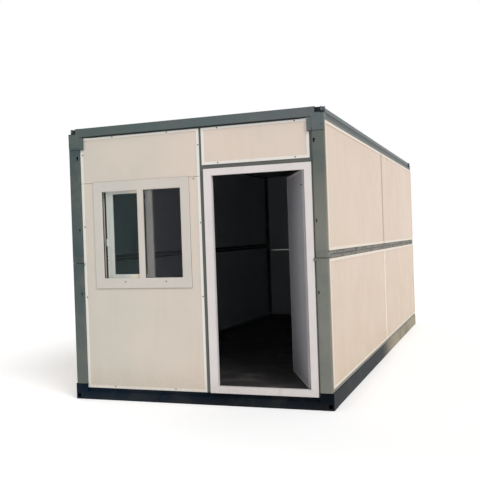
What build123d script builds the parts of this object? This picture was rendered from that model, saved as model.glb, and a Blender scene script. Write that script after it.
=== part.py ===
import os

from build123d import *

os.makedirs("parts", exist_ok=True)

# A house that folds flat: a steel floor frame, a steel roof frame, two long walls that fold at
# half height, and two end walls. X runs across, Y along the length, Z up. The front end, with
# the door and the window, faces -Y. The origin is under the middle of the floor frame.

# Overall size
house_width = 2500
house_length = 5900
house_height = 2560

# Steel stock, and the gap where one piece sits on another
gauge = 3
bend = 6
seat = 0.3

# Floor frame
floor_height = 147
floor_beam_depth = 117
floor_lip = 15
floor_corner_length = 150
corner_plate = 6
lashing_hole = 36
lashing_chamfer = 6
lashing_inset = 30
lashing_height = 34
sill_height = 108
sill_face = 72
sill_step = 24
sill_depth = 90
joist_height = 100
joist_width = 50
joist_count = 9
deck_thickness = 18
deck_top = 150

# Roof frame
roof_lip = 20
roof_face = 74
roof_groove = 10
roof_step = 14
roof_side_inset = 24
roof_beam_depth = 96
head_face = 80
head_groove = 8
roof_corner_width = 120
roof_corner_length = 70
leg_drop = 180
leg_plate = 8
leg_bolt_radius = 6
leg_bolt_inset = 22
leg_bolt_drop = 152
pocket_width = 77
pocket_length = 45
pocket_height = 48
lift_pin_radius = 8
lift_pin_inset = 26
hanger_width = 40
hanger_drop = 202
purlin_height = 50
purlin_width = 40
purlin_count = 9
ceiling_thickness = 12
roof_skin = 2
rib_pitch = 200
rib_height = 20
rib_crest = 50
rib_flank = 20

# Long walls
wall_thickness = 120
long_trim_proud = 8
long_skin = 3
long_trim = 25
post_length = 50
post_bend = 12
post_reveal = 20
rail_height = 34
fold_gap = 2
post_joint_drop = 26
post_slot_width = 12
post_slot_length = 26
post_slot_inset = 20
post_slot_drops = (288, 958)
post_slot_rise = 849
keyhole_width = 20
lug_length = 40
lug_height = 22
lug_reach = 20
long_panel_core = 54
seam_gap = 4
middle_post_width = 60

# Hinges on the fold line of the long walls
fold_knuckle_radius = 8
fold_leaf_thickness = 3
fold_leaf_height = 24
fold_hinge_length = 120
fold_hinge_gap = 1.5
fold_hinge_spacing = 1700
fold_knuckle_split = 2
fold_knuckle_count = 3

# End walls
end_setback = 20
end_trim_proud = 6
end_skin = 2
end_trim = 25
end_depth = 44
end_bar = 38
end_rail = 30
end_play = 2
door_bay = 959
head_joint_drop = 521
rear_joint = 1240
panel_joint = 3
door_bar_drop = 456
door_bar_height = 32
transom_lap = 15

# Door frame and leaf
door_frame_proud = 14
door_frame_depth = 72
door_lock_face = 76
door_hinge_face = 64
door_flange_lap = 28
door_head_gap = 5
door_head_face = 61
door_sill_face = 61
door_stop = 35
door_lap = 8
door_clearance = 5
leaf_thickness = 40
leaf_edge = 24
leaf_edge_gauge = 1.5
leaf_open_angle = 65
door_knuckle_radius = 7
door_knuckle_length = 45
door_knuckle_gap = 0.5
door_pin_radius = 4
door_pin_play = 0.08
door_hinge_offset = 2
door_hinge_stand = 9
door_hinge_leaf = 34
door_hinge_plate = 3
door_hinge_margin = 220

# Window
window_left_gap = 128
window_right_gap = 111
window_height = 1000
window_rise = 5
window_flange = 88
window_flange_level = 95
window_flange_thickness = 10
window_bevel = 5
window_outer_bevel = 3
window_liner = 45
window_depth = 66
window_mullion = 60
window_mullion_depth = 28
sash_width = 480
sash_depth = 24
sash_play = 1
sash_engagement = 15
sash_reveal = 30
sash_stile = 70
sash_head = 36
sash_foot = 50
sash_bead = 16
sash_groove = 3
sash_groove_depth = 2
sash_groove_insets = (14, 26, 38)
latch_width = 24
latch_length = 70
latch_proud = 7
latch_overhang = 8
latch_rise = 350
latch_rounding = 3
glass_thickness = 5
glass_edge = 10
fixed_glass_inset = 14

# Levels and faces that follow from the sizes above
half_width = house_width / 2
half_length = house_length / 2
front = -half_length
wall_inner = half_width - wall_thickness
steel_outer = half_width - long_trim_proud
wall_low = floor_height + seat
roof_low = house_height - roof_face - roof_groove
wall_top = roof_low - seat
fold_level = (wall_low + wall_top) / 2
post_joint = fold_level - post_joint_drop
leg_low = house_height - leg_drop
end_front = front + end_setback
bar_face = end_front + end_trim_proud
end_back = bar_face + end_depth
end_low = sill_height + seat
end_top = house_height - head_face - head_groove - seat
end_reach = wall_inner - end_play
core_right = end_reach - end_bar
mullion_right = core_right - door_bay
mullion_left = mullion_right - end_bar
door_bar_low = house_height - door_bar_drop
door_bar_top = door_bar_low + door_bar_height
head_joint = house_height - head_joint_drop


# Rectangle given by its left, right, low and high edges
def edged(left, right, low, high, mode=Mode.ADD):
    with Locations(((left + right) / 2, (low + high) / 2)):
        Rectangle(right - left, high - low, mode=mode)


# Section of a sheet folded along the given corners, its thickness to the right of the path
def folded(*corners, radius=bend):
    with BuildLine() as outline:
        FilletPolyline(*corners, radius=radius)
        offset(amount=gauge, side=Side.RIGHT)
    make_face(outline.edges())


def write(piece, name):
    piece.part.label = name
    export_step(piece.part, f"parts/{name}.step")


# A piece and its mirror image
def write_pair(piece, plane, name, twin_name):
    write(piece, name)
    with BuildPart() as twin:
        mirror(piece.part, about=plane)
    write(twin, twin_name)


# Floor side beams: lipped channels open to the middle
with BuildPart() as side_beam:
    with BuildSketch(Plane.XZ.offset(half_length - floor_corner_length - seat)):
        folded(
            (half_width - floor_beam_depth, floor_height - floor_lip),
            (half_width - floor_beam_depth, floor_height),
            (half_width, floor_height),
            (half_width, 0),
            (half_width - floor_beam_depth, 0),
            (half_width - floor_beam_depth, floor_lip),
        )
    extrude(amount=-(house_length - 2 * floor_corner_length - 2 * seat))
write_pair(side_beam, Plane.YZ, "floor_right_beam", "floor_left_beam")

# Sills of the end walls: the face steps back under the wall
sill_half = wall_inner - seat
with BuildPart() as sill:
    with BuildSketch(Plane.YZ.offset(-sill_half)):
        folded(
            (front + sill_depth, floor_lip),
            (front + sill_depth, 0),
            (front, 0),
            (front, sill_face),
            (front + sill_step, sill_face),
            (front + sill_step, sill_height),
            (front + sill_depth, sill_height),
            (front + sill_depth, sill_height - floor_lip),
            radius=gauge,
        )
    extrude(amount=2 * sill_half)
write_pair(sill, Plane.XZ, "floor_front_beam", "floor_rear_beam")

# Corner fittings of the floor: plate boxes with a lashing hole in the end face
with BuildPart() as floor_corners:
    with BuildSketch():
        edged(wall_inner, half_width, front, front + floor_corner_length)
    extrude(amount=floor_height)
    fillet(edges().filter_by(Axis.Z).group_by(Axis.X)[-1].sort_by(Axis.Y)[0], radius=bend)
    with BuildSketch(Plane.XY.offset(corner_plate)):
        edged(
            wall_inner + corner_plate,
            half_width - corner_plate,
            front + corner_plate,
            front + floor_corner_length - corner_plate,
        )
    extrude(amount=floor_height - 2 * corner_plate, mode=Mode.SUBTRACT)
    with BuildSketch(Plane.XZ.offset(half_length)):
        with Locations((half_width - lashing_inset, lashing_height)):
            Rectangle(lashing_hole, lashing_hole)
        chamfer(vertices(), length=lashing_chamfer)
    extrude(amount=-2 * corner_plate, mode=Mode.SUBTRACT)
    mirror(about=Plane.YZ)
    mirror(about=Plane.XZ)
write(floor_corners, "floor_corners")

# Joists: channels that run into the side beams under their lips
joist_half = half_width - gauge - seat
joist_top = floor_height - floor_lip - seat
joist_run = house_length - 2 * (floor_corner_length + seat) - joist_width
with BuildPart() as floor_joists:
    with BuildSketch(Plane.YZ.offset(-joist_half)):
        with Locations((0, joist_top - joist_height / 2)):
            with GridLocations(joist_run / (joist_count - 1), 0, joist_count, 1):
                Rectangle(joist_width, joist_height)
        with Locations((gauge, joist_top - joist_height / 2)):
            with GridLocations(joist_run / (joist_count - 1), 0, joist_count, 1):
                Rectangle(joist_width, joist_height - 2 * gauge, mode=Mode.SUBTRACT)
    extrude(amount=2 * joist_half)
write(floor_joists, "floor_joists")

# Floor boards, cut out round the door frame
door_frame_back = end_front - door_frame_proud + door_frame_depth
with BuildPart() as floor_deck:
    with BuildSketch(Plane.XY.offset(deck_top - deck_thickness)):
        Rectangle(2 * sill_half, 2 * (-end_back - seat))
        edged(mullion_right, core_right, end_back, door_frame_back + seat, mode=Mode.SUBTRACT)
    extrude(amount=deck_thickness)
write(floor_deck, "floor_deck")

# Roof side beams: a groove runs under the face
beam_outer = half_width - roof_side_inset
beam_inner = beam_outer - roof_beam_depth
with BuildPart() as roof_side_beam:
    with BuildSketch(Plane.XZ.offset(half_length - roof_corner_length - seat)):
        folded(
            (beam_inner, house_height - roof_lip),
            (beam_inner, house_height),
            (beam_outer, house_height),
            (beam_outer, house_height - roof_face),
            (beam_outer - roof_step, house_height - roof_face),
            (beam_outer - roof_step, roof_low),
            (beam_inner, roof_low),
            (beam_inner, roof_low + roof_lip),
            radius=gauge,
        )
    extrude(amount=-(house_length - 2 * roof_corner_length - 2 * seat))
write_pair(roof_side_beam, Plane.YZ, "roof_right_beam", "roof_left_beam")

# Roof end beams: the same idea over the end walls
head_half = steel_outer - roof_corner_width - seat
head_low = house_height - head_face - head_groove
with BuildPart() as head_beam:
    with BuildSketch(Plane.YZ.offset(-head_half)):
        folded(
            (front + sill_depth, head_low + roof_lip),
            (front + sill_depth, head_low),
            (front + sill_step, head_low),
            (front + sill_step, house_height - head_face),
            (front, house_height - head_face),
            (front, house_height),
            (front + sill_depth, house_height),
            (front + sill_depth, house_height - roof_lip),
            radius=gauge,
        )
    extrude(amount=2 * head_half)
write_pair(head_beam, Plane.XZ, "roof_front_beam", "roof_rear_beam")

# Corner fittings of the roof: a block with a lifting pocket and its pin, a leg in front of the
# wall post, and a plate that hangs the end wall
with BuildPart() as roof_corners:
    with BuildSketch(Plane.XY.offset(roof_low)):
        edged(steel_outer - roof_corner_width, steel_outer, front, front + roof_corner_length)
    extrude(amount=house_height - roof_low)
    with BuildSketch(Plane.XY.offset(house_height)):
        edged(steel_outer - pocket_width, steel_outer, front, front + pocket_length)
    extrude(amount=-pocket_height, mode=Mode.SUBTRACT)
    with BuildSketch(Plane.XY.offset(house_height - pocket_height)):
        with Locations((steel_outer - lift_pin_inset, front + lift_pin_inset)):
            Circle(lift_pin_radius)
    extrude(amount=pocket_height)
    with BuildSketch(Plane.XY.offset(leg_low)):
        edged(wall_inner, steel_outer, front, front + leg_plate)
    extrude(amount=roof_low - leg_low)
    fillet(
        edges().filter_by(Axis.Z).filter_by_position(Axis.Z, leg_low, roof_low).group_by(Axis.Y)[0],
        radius=bend,
    )
    with BuildSketch(Plane.XZ.offset(half_length)):
        with Locations((steel_outer - leg_bolt_inset, house_height - leg_bolt_drop)):
            Circle(leg_bolt_radius)
    extrude(amount=-leg_plate, mode=Mode.SUBTRACT)
    with BuildSketch(Plane.XY.offset(house_height - hanger_drop)):
        edged(wall_inner - hanger_width, wall_inner, front + leg_plate / 2, end_front - seat)
    extrude(amount=roof_low - house_height + hanger_drop)
    mirror(about=Plane.YZ)
    mirror(about=Plane.XZ)
write(roof_corners, "roof_corners")

# Purlins across the roof, with the ribbed sheet above and the ceiling below
roof_clear = beam_inner - seat
sheet_low = house_height - rib_height - 2 * roof_skin
sheet_half = half_length - sill_depth - seat
purlin_run = 2 * sheet_half - purlin_width
with BuildPart() as roof_purlins:
    with BuildSketch(Plane.YZ.offset(-roof_clear)):
        with Locations((0, sheet_low - seat - purlin_height / 2)):
            with GridLocations(purlin_run / (purlin_count - 1), 0, purlin_count, 1):
                Rectangle(purlin_width, purlin_height)
                Rectangle(
                    purlin_width - 2 * gauge, purlin_height - 2 * gauge, mode=Mode.SUBTRACT
                )
    extrude(amount=2 * roof_clear)
write(roof_purlins, "roof_purlins")

# Roof sheet: flat pans and raised ribs in turn, the ribs running along the roof
rib_count = int(2 * roof_clear / rib_pitch)
rib_points = [(-roof_clear, sheet_low)]
for rib in range(rib_count):
    rib_start = (rib - rib_count / 2 + 0.5) * rib_pitch - rib_crest / 2 - rib_flank
    rib_points += [
        (rib_start, sheet_low),
        (rib_start + rib_flank, sheet_low + rib_height),
        (rib_start + rib_flank + rib_crest, sheet_low + rib_height),
        (rib_start + 2 * rib_flank + rib_crest, sheet_low),
    ]
rib_points.append((roof_clear, sheet_low))
with BuildPart() as roof_sheet:
    with BuildSketch(Plane.XZ.offset(sheet_half)):
        with BuildLine():
            Polyline(*rib_points)
            offset(amount=roof_skin, side=Side.LEFT, kind=Kind.INTERSECTION)
        make_face()
    extrude(amount=-2 * sheet_half)
write(roof_sheet, "roof_sheet")

ceiling_top = sheet_low - purlin_height - 2 * seat
with BuildPart() as ceiling_lining:
    with BuildSketch(Plane.XY.offset(ceiling_top - ceiling_thickness)):
        Rectangle(2 * roof_clear, 2 * sheet_half)
    extrude(amount=ceiling_thickness)
write(ceiling_lining, "ceiling_lining")

# Places of the fold hinges along a long wall
fold_hinge_places = (-fold_hinge_spacing, 0, fold_hinge_spacing)
fold_axis = half_width - fold_knuckle_radius
fold_notch = fold_knuckle_radius + fold_hinge_gap
post_back = front + post_length


# Frame of half a long wall: a folded post at each end with a plate behind it, two rails between
# the plates, and a post in the middle behind the panels. Slots for locking pins go through the
# end face of each post, some of them keyholes, and a lug beside the joint of the post laps over
# the end wall
def long_wall_frame(low, high, post_low, post_high, slot_levels, keyhole_levels, lug_levels):
    rail_reach = -post_back - gauge
    back_of_panel = steel_outer - long_panel_core - seat
    with BuildPart() as frame:
        with BuildSketch(Plane.XY.offset(post_low)):
            folded(
                (steel_outer, post_back),
                (steel_outer, front),
                (wall_inner, front),
                (wall_inner, post_back),
                radius=post_bend,
            )
        extrude(amount=post_high - post_low)
        with BuildSketch(Plane.XY.offset(leg_low - seat)):
            edged(wall_inner, steel_outer, front, front + leg_plate + seat)
        extrude(amount=house_height - leg_low, mode=Mode.SUBTRACT)
        with BuildSketch(Plane.XZ.offset(half_length)):
            for level in slot_levels:
                with Locations((wall_inner + post_slot_inset, level)):
                    Rectangle(post_slot_width, post_slot_length)
            for level in keyhole_levels:
                with Locations((wall_inner + post_slot_inset, level + post_slot_length / 2)):
                    Rectangle(keyhole_width, keyhole_width)
        extrude(amount=-gauge, mode=Mode.SUBTRACT)
        for level in lug_levels:
            with BuildSketch(Plane.XZ.offset(half_length)):
                with Locations((wall_inner - lug_reach + lug_length / 2, level)):
                    SlotOverall(lug_length, lug_height)
            extrude(amount=-gauge)
        with BuildSketch(Plane.XY.offset(low)):
            edged(wall_inner, steel_outer, post_back, post_back + gauge)
        extrude(amount=high - low)
        mirror(about=Plane.XZ)
        with BuildSketch(Plane.XZ.offset(rail_reach)):
            for rail_low in (low, high - rail_height):
                edged(wall_inner, steel_outer, rail_low, rail_low + rail_height)
                edged(
                    wall_inner,
                    steel_outer - gauge,
                    rail_low + gauge,
                    rail_low + rail_height - gauge,
                    mode=Mode.SUBTRACT,
                )
        extrude(amount=-2 * rail_reach)
        with BuildSketch(Plane.XY.offset(low + rail_height)):
            with Locations(((wall_inner + back_of_panel) / 2, 0)):
                Rectangle(back_of_panel - wall_inner, middle_post_width)
                Rectangle(
                    back_of_panel - wall_inner - 2 * gauge,
                    middle_post_width - 2 * gauge,
                    mode=Mode.SUBTRACT,
                )
        extrude(amount=high - low - 2 * rail_height)
        for place in fold_hinge_places:
            with BuildSketch(Plane.XZ.offset(place + fold_hinge_length / 2 + fold_hinge_gap)):
                with Locations((fold_axis, fold_level)):
                    Rectangle(2 * fold_notch, 2 * fold_notch)
            extrude(amount=-(fold_hinge_length + 2 * fold_hinge_gap), mode=Mode.SUBTRACT)
    return frame


lower_high = fold_level - fold_gap / 2
upper_low = fold_level + fold_gap / 2
lower_wall_frame = long_wall_frame(
    wall_low,
    lower_high,
    wall_low,
    post_joint - fold_gap / 2,
    [floor_height + post_slot_rise],
    [],
    [post_joint - (fold_gap + lug_height) / 2],
)
write_pair(lower_wall_frame, Plane.YZ, "right_lower_wall_frame", "left_lower_wall_frame")
upper_wall_frame = long_wall_frame(
    upper_low,
    wall_top,
    post_joint + fold_gap / 2,
    wall_top,
    [house_height - drop for drop in post_slot_drops],
    [house_height - post_slot_drops[0]],
    [],
)
write_pair(upper_wall_frame, Plane.YZ, "right_upper_wall_frame", "left_upper_wall_frame")


# Two sandwich panels in half a long wall: a core between the posts, a skin that laps over them,
# and a trim strip round the skin
def long_wall_panels(low, high):
    panel_low = low + rail_height + seat
    panel_high = high - rail_height - seat
    panel_start = front + post_reveal
    panel_end = -seam_gap / 2
    with BuildPart() as panels:
        with BuildSketch(Plane.YZ.offset(steel_outer)):
            edged(post_back + gauge + seat, panel_end, panel_low, panel_high)
        extrude(amount=-long_panel_core)
        with BuildSketch(Plane.YZ.offset(steel_outer)):
            edged(panel_start, panel_end, panel_low, panel_high)
        extrude(amount=long_trim_proud)
        with BuildSketch(Plane.YZ.offset(steel_outer + long_skin)):
            edged(
                panel_start + long_trim,
                panel_end - long_trim,
                panel_low + long_trim,
                panel_high - long_trim,
            )
        extrude(amount=long_trim_proud - long_skin, mode=Mode.SUBTRACT)
        mirror(about=Plane.XZ)
    return panels


lower_panels = long_wall_panels(wall_low, lower_high)
write_pair(lower_panels, Plane.YZ, "right_lower_wall_panels", "left_lower_wall_panels")
upper_panels = long_wall_panels(upper_low, wall_top)
write_pair(upper_panels, Plane.YZ, "right_upper_wall_panels", "left_upper_wall_panels")

# Fold hinges: three knuckles on the fold line with a split between them, and a leaf on the rail
# above and below
with BuildPart() as fold_hinges:
    for place in fold_hinge_places:
        with BuildSketch(Plane.XZ.offset(place + fold_hinge_length / 2)):
            with Locations((fold_axis, fold_level)):
                Circle(fold_knuckle_radius)
            edged(
                steel_outer + seat,
                steel_outer + seat + fold_leaf_thickness,
                fold_level - fold_knuckle_radius - fold_leaf_height,
                fold_level + fold_knuckle_radius + fold_leaf_height,
            )
        extrude(amount=-fold_hinge_length)
        for knuckle in range(1, fold_knuckle_count):
            split_place = place + fold_hinge_length / 2 - knuckle * fold_hinge_length / fold_knuckle_count
            with BuildSketch(Plane.XZ.offset(split_place + fold_knuckle_split / 2)):
                edged(
                    steel_outer + seat + fold_leaf_thickness,
                    half_width,
                    fold_level - fold_knuckle_radius,
                    fold_level + fold_knuckle_radius,
                )
            extrude(amount=-fold_knuckle_split, mode=Mode.SUBTRACT)
write_pair(fold_hinges, Plane.YZ, "right_fold_hinges", "left_fold_hinges")

# Frame of the front wall: bars round the window bay and the transom, open below for the door
with BuildPart() as front_wall_frame:
    with BuildSketch(Plane.XZ.offset(-bar_face)):
        edged(-end_reach, end_reach, end_low, end_top)
        edged(
            -end_reach + end_bar,
            mullion_left,
            end_low + end_rail,
            end_top - end_rail,
            mode=Mode.SUBTRACT,
        )
        edged(mullion_right, core_right, end_low, door_bar_low, mode=Mode.SUBTRACT)
        edged(mullion_right, core_right, door_bar_top, end_top - end_rail, mode=Mode.SUBTRACT)
    extrude(amount=-end_depth)
write(front_wall_frame, "front_wall_frame")

with BuildPart() as rear_wall_frame:
    with BuildSketch(Plane.XZ.offset(bar_face)):
        edged(-end_reach, end_reach, end_low, end_top)
        edged(
            -end_reach + end_bar,
            end_reach - end_bar,
            end_low + end_rail,
            end_top - end_rail,
            mode=Mode.SUBTRACT,
        )
    extrude(amount=end_depth)
write(rear_wall_frame, "rear_wall_frame")


# Panel of an end wall, outside face towards -Y: a core between the bars, a skin that laps over
# them, and trim strips on the edges of the skin that meet a bar
def end_panel(core, skin, trim_low, trim_high):
    with BuildPart() as panel:
        with BuildSketch(Plane.XZ.offset(-bar_face)):
            edged(*core)
        extrude(amount=-end_depth)
        with BuildSketch(Plane.XZ.offset(-bar_face)):
            edged(*skin)
        extrude(amount=end_trim_proud)
        with BuildSketch(Plane.XZ.offset(-bar_face + end_skin)):
            edged(
                skin[0] + end_trim,
                skin[1] - end_trim,
                skin[2] + trim_low,
                skin[3] - trim_high,
            )
        extrude(amount=end_trim_proud, mode=Mode.SUBTRACT)
    return panel


# Window bay: a panel with the window hole, and a panel above it
window_left = -end_reach + window_left_gap
window_right = mullion_left - window_right_gap
window_top = head_joint + window_rise
window_low = window_top - window_height
bay_core_left = -end_reach + end_bar + seat
bay_core_right = mullion_left - seat
core_low = end_low + end_rail + seat
core_high = end_top - end_rail - seat
bay_top_panel = end_panel(
    (bay_core_left, bay_core_right, head_joint + panel_joint / 2, core_high),
    (-end_reach, mullion_left, head_joint + panel_joint / 2, end_top),
    0,
    end_trim,
)
write(bay_top_panel, "window_bay_top_panel")

bay_main_panel = end_panel(
    (bay_core_left, bay_core_right, core_low, head_joint - panel_joint / 2),
    (-end_reach, mullion_left, end_low, head_joint - panel_joint / 2),
    end_trim,
    0,
)
opening_left = window_left + window_flange
opening_right = window_right - window_flange
opening_low = window_low + window_flange_level
opening_high = window_top - window_flange_level
with BuildPart() as window_bay_panel:
    add(bay_main_panel.part)
    with BuildSketch(Plane.XZ.offset(half_length)):
        edged(
            opening_left - window_liner - seat,
            opening_right + window_liner + seat,
            opening_low - window_liner - seat,
            opening_high + window_liner + seat,
        )
    extrude(amount=-(end_back - front), mode=Mode.SUBTRACT)
    with BuildSketch(Plane.XZ.offset(-bar_face + end_skin)):
        edged(window_left - seat, window_right + seat, window_low - seat, window_top + seat)
    extrude(amount=end_trim_proud, mode=Mode.SUBTRACT)
write(window_bay_panel, "window_bay_panel")

transom_panel = end_panel(
    (mullion_right + seat, core_right - seat, door_bar_top + seat, core_high),
    (mullion_right - transom_lap, core_right + transom_lap, door_bar_top, end_top),
    end_trim,
    end_trim,
)
write(transom_panel, "transom_panel")


# Panels of the rear wall, built facing the front and mirrored to the rear
def write_rear_panel(core_edges, skin_edges, trim_low, trim_high, name):
    facing_front = end_panel(core_edges, skin_edges, trim_low, trim_high)
    with BuildPart() as facing_rear:
        mirror(facing_front.part, about=Plane.XZ)
    write(facing_rear, name)


write_rear_panel(
    (bay_core_left, -bay_core_left, core_low, rear_joint - panel_joint / 2),
    (-end_reach, end_reach, end_low, rear_joint - panel_joint / 2),
    end_trim,
    0,
    "rear_lower_panel",
)
write_rear_panel(
    (bay_core_left, -bay_core_left, rear_joint + panel_joint / 2, core_high),
    (-end_reach, end_reach, rear_joint + panel_joint / 2, end_top),
    0,
    end_trim,
    "rear_upper_panel",
)

# Window frame: a flange on the wall, a liner through it, a fixed bar in the middle, a slot that
# holds the fixed glass on the right, and a track behind it for the sliding sash
flange_back = bar_face - end_skin - seat
flange_front = flange_back - window_flange_thickness
window_middle = (opening_left + opening_right) / 2
track_front = flange_front + window_mullion_depth + sash_play
track_back = track_front + sash_depth + 2 * sash_play
glass_front = flange_front + fixed_glass_inset
with BuildPart() as window_frame:
    with BuildSketch(Plane.XZ.offset(-flange_front)):
        edged(window_left, window_right, window_low, window_top)
    extrude(amount=-window_flange_thickness)
    with BuildSketch(Plane.XZ.offset(-flange_front)):
        edged(
            opening_left - window_liner,
            opening_right + window_liner,
            opening_low - window_liner,
            opening_high + window_liner,
        )
    extrude(amount=-window_depth)
    with BuildSketch(Plane.XZ.offset(-flange_front)):
        edged(opening_left, opening_right, opening_low, opening_high)
    extrude(amount=-window_depth, mode=Mode.SUBTRACT)
    chamfer(faces().sort_by(Axis.Y)[0].inner_wires()[0].edges(), length=window_bevel)
    chamfer(faces().sort_by(Axis.Y)[0].outer_wire().edges(), length=window_outer_bevel)
    with BuildSketch(Plane.XZ.offset(-flange_front)):
        edged(
            window_middle - window_mullion / 2,
            window_middle + window_mullion / 2,
            opening_low - window_bevel,
            opening_high + window_bevel,
        )
    extrude(amount=-window_mullion_depth)
    with BuildSketch(Plane.XZ.offset(-track_front)):
        edged(
            opening_left - sash_engagement,
            opening_right + sash_engagement,
            opening_low - sash_engagement - seat,
            opening_high + sash_engagement,
        )
    extrude(amount=track_front - track_back, mode=Mode.SUBTRACT)
    with BuildSketch(Plane.XZ.offset(seat - glass_front)):
        edged(
            window_middle + window_mullion / 2 - glass_edge - seat,
            opening_right + glass_edge + seat,
            opening_low - glass_edge - seat,
            opening_high + glass_edge + seat,
        )
    extrude(amount=-(glass_thickness + 2 * seat), mode=Mode.SUBTRACT)
write(window_frame, "window_frame")

with BuildPart() as window_fixed_glass:
    with BuildSketch(Plane.XZ.offset(-glass_front)):
        edged(
            window_middle + window_mullion / 2 - glass_edge,
            opening_right + glass_edge,
            opening_low - glass_edge,
            opening_high + glass_edge,
        )
    extrude(amount=-glass_thickness)
write(window_fixed_glass, "window_fixed_glass")

# Sliding sash, slid a little way open, and its glass
sash_left = opening_left + sash_reveal
sash_right = sash_left + sash_width
sash_low = opening_low - sash_engagement
sash_high = opening_high + sash_engagement - 3 * sash_play
sash_front = track_front + sash_play
sash_glass_front = sash_front + (sash_depth - glass_thickness) / 2
with BuildPart() as window_sash:
    with BuildSketch(Plane.XZ.offset(-sash_front)):
        edged(sash_left, sash_right, sash_low, sash_high)
        edged(
            sash_left + sash_stile,
            sash_right - sash_stile,
            sash_low + sash_foot,
            sash_high - sash_head,
            mode=Mode.SUBTRACT,
        )
    extrude(amount=-sash_depth)
    with BuildSketch(Plane.XZ.offset(-sash_front)):
        edged(
            sash_left + sash_stile - sash_bead,
            sash_right - sash_stile + sash_bead,
            sash_low + sash_foot - sash_bead,
            sash_high - sash_head + sash_bead,
        )
        for inset in sash_groove_insets:
            edged(
                sash_left + inset,
                sash_left + inset + sash_groove,
                sash_low,
                sash_high,
            )
    extrude(amount=-sash_groove_depth, mode=Mode.SUBTRACT)
    with BuildSketch(Plane.XZ.offset(seat - sash_glass_front)):
        edged(
            sash_left + sash_stile - glass_edge - seat,
            sash_right - sash_stile + glass_edge + seat,
            sash_low + sash_foot - glass_edge - seat,
            sash_high - sash_head + glass_edge + seat,
        )
    extrude(amount=-(glass_thickness + 2 * seat), mode=Mode.SUBTRACT)
write(window_sash, "window_sash")

# Latch on the free stile of the sash, reaching over the gap beside it
latch_middle = sash_low + latch_rise
with BuildPart() as window_latch:
    with BuildSketch(Plane.XZ.offset(-sash_front)):
        edged(
            sash_left - latch_overhang,
            sash_left - latch_overhang + latch_width,
            latch_middle - latch_length / 2,
            latch_middle + latch_length / 2,
        )
    extrude(amount=latch_proud)
    chamfer(faces().sort_by(Axis.Y)[0].edges(), length=latch_rounding)
write(window_latch, "window_latch")

with BuildPart() as window_sash_glass:
    with BuildSketch(Plane.XZ.offset(-sash_glass_front)):
        edged(
            sash_left + sash_stile - glass_edge,
            sash_right - sash_stile + glass_edge,
            sash_low + sash_foot - glass_edge,
            sash_high - sash_head + glass_edge,
        )
    extrude(amount=-glass_thickness)
write(window_sash_glass, "window_sash_glass")

# Door frame sizes. The leaf closes from the inside against a stop all round
frame_front = end_front - door_frame_proud
stop_back = frame_front + door_stop
frame_left = mullion_right + seat
frame_right = core_right + door_flange_lap
frame_top = door_bar_low - door_head_gap
doorway_left = frame_left + door_lock_face
doorway_right = frame_right - door_hinge_face
doorway_low = end_low + door_sill_face
doorway_high = frame_top - door_head_face
rebate = door_lap + door_clearance
leaf_width = doorway_right - doorway_left + 2 * door_lap
leaf_front = stop_back + door_clearance
leaf_low = doorway_low - door_lap
leaf_high = doorway_high + door_lap
hinge_x = doorway_right + door_lap + door_hinge_offset
hinge_y = leaf_front + leaf_thickness + door_hinge_stand
hinge_levels = [
    leaf_low + door_hinge_margin,
    (leaf_low + leaf_high) / 2,
    leaf_high - door_hinge_margin,
]
knuckle_reach = door_knuckle_length + door_knuckle_gap / 2

# Jamb on the hinge side: its flange laps over the bar of the wall. It carries the lower knuckle
# and the pin of each hinge
with BuildPart() as door_hinge_jamb:
    with BuildSketch(Plane.XY.offset(end_low)):
        edged(doorway_right, frame_right, frame_front, end_front - seat)
        edged(doorway_right, core_right - seat, frame_front, stop_back)
        edged(doorway_right + rebate, core_right - seat, frame_front, door_frame_back)
    extrude(amount=frame_top - end_low)
    for level in hinge_levels:
        with BuildSketch(Plane.XY.offset(level - knuckle_reach)):
            with Locations((hinge_x, hinge_y)):
                Circle(door_knuckle_radius)
            edged(
                hinge_x + door_knuckle_radius - door_hinge_plate,
                hinge_x + door_knuckle_radius,
                door_frame_back,
                hinge_y,
            )
            edged(
                hinge_x + door_knuckle_radius - door_hinge_plate,
                core_right - seat,
                door_frame_back,
                door_frame_back + door_hinge_plate,
            )
        extrude(amount=door_knuckle_length)
        with BuildSketch(Plane.XY.offset(level - knuckle_reach)):
            with Locations((hinge_x, hinge_y)):
                Circle(door_pin_radius)
        extrude(amount=2 * knuckle_reach)
write(door_hinge_jamb, "door_hinge_jamb")

with BuildPart() as door_lock_jamb:
    with BuildSketch(Plane.XY.offset(end_low)):
        edged(frame_left, doorway_left, frame_front, stop_back)
        edged(frame_left, doorway_left - rebate, frame_front, door_frame_back)
    extrude(amount=frame_top - end_low)
write(door_lock_jamb, "door_lock_jamb")

with BuildPart() as door_head:
    with BuildSketch(Plane.XZ.offset(-frame_front)):
        edged(doorway_left + seat, doorway_right - seat, doorway_high, frame_top)
    extrude(amount=-door_stop)
    with BuildSketch(Plane.XZ.offset(-stop_back)):
        edged(
            doorway_left - rebate + seat,
            doorway_right + rebate - seat,
            doorway_high + rebate,
            frame_top,
        )
    extrude(amount=stop_back - door_frame_back)
write(door_head, "door_head")

with BuildPart() as door_threshold:
    with BuildSketch(Plane.XZ.offset(-frame_front)):
        edged(doorway_left + seat, doorway_right - seat, end_low, doorway_low)
    extrude(amount=-door_stop)
    with BuildSketch(Plane.XZ.offset(-stop_back)):
        edged(
            doorway_left - rebate + seat,
            doorway_right + rebate - seat,
            end_low,
            doorway_low - rebate,
        )
    extrude(amount=stop_back - door_frame_back)
write(door_threshold, "door_threshold")

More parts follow.
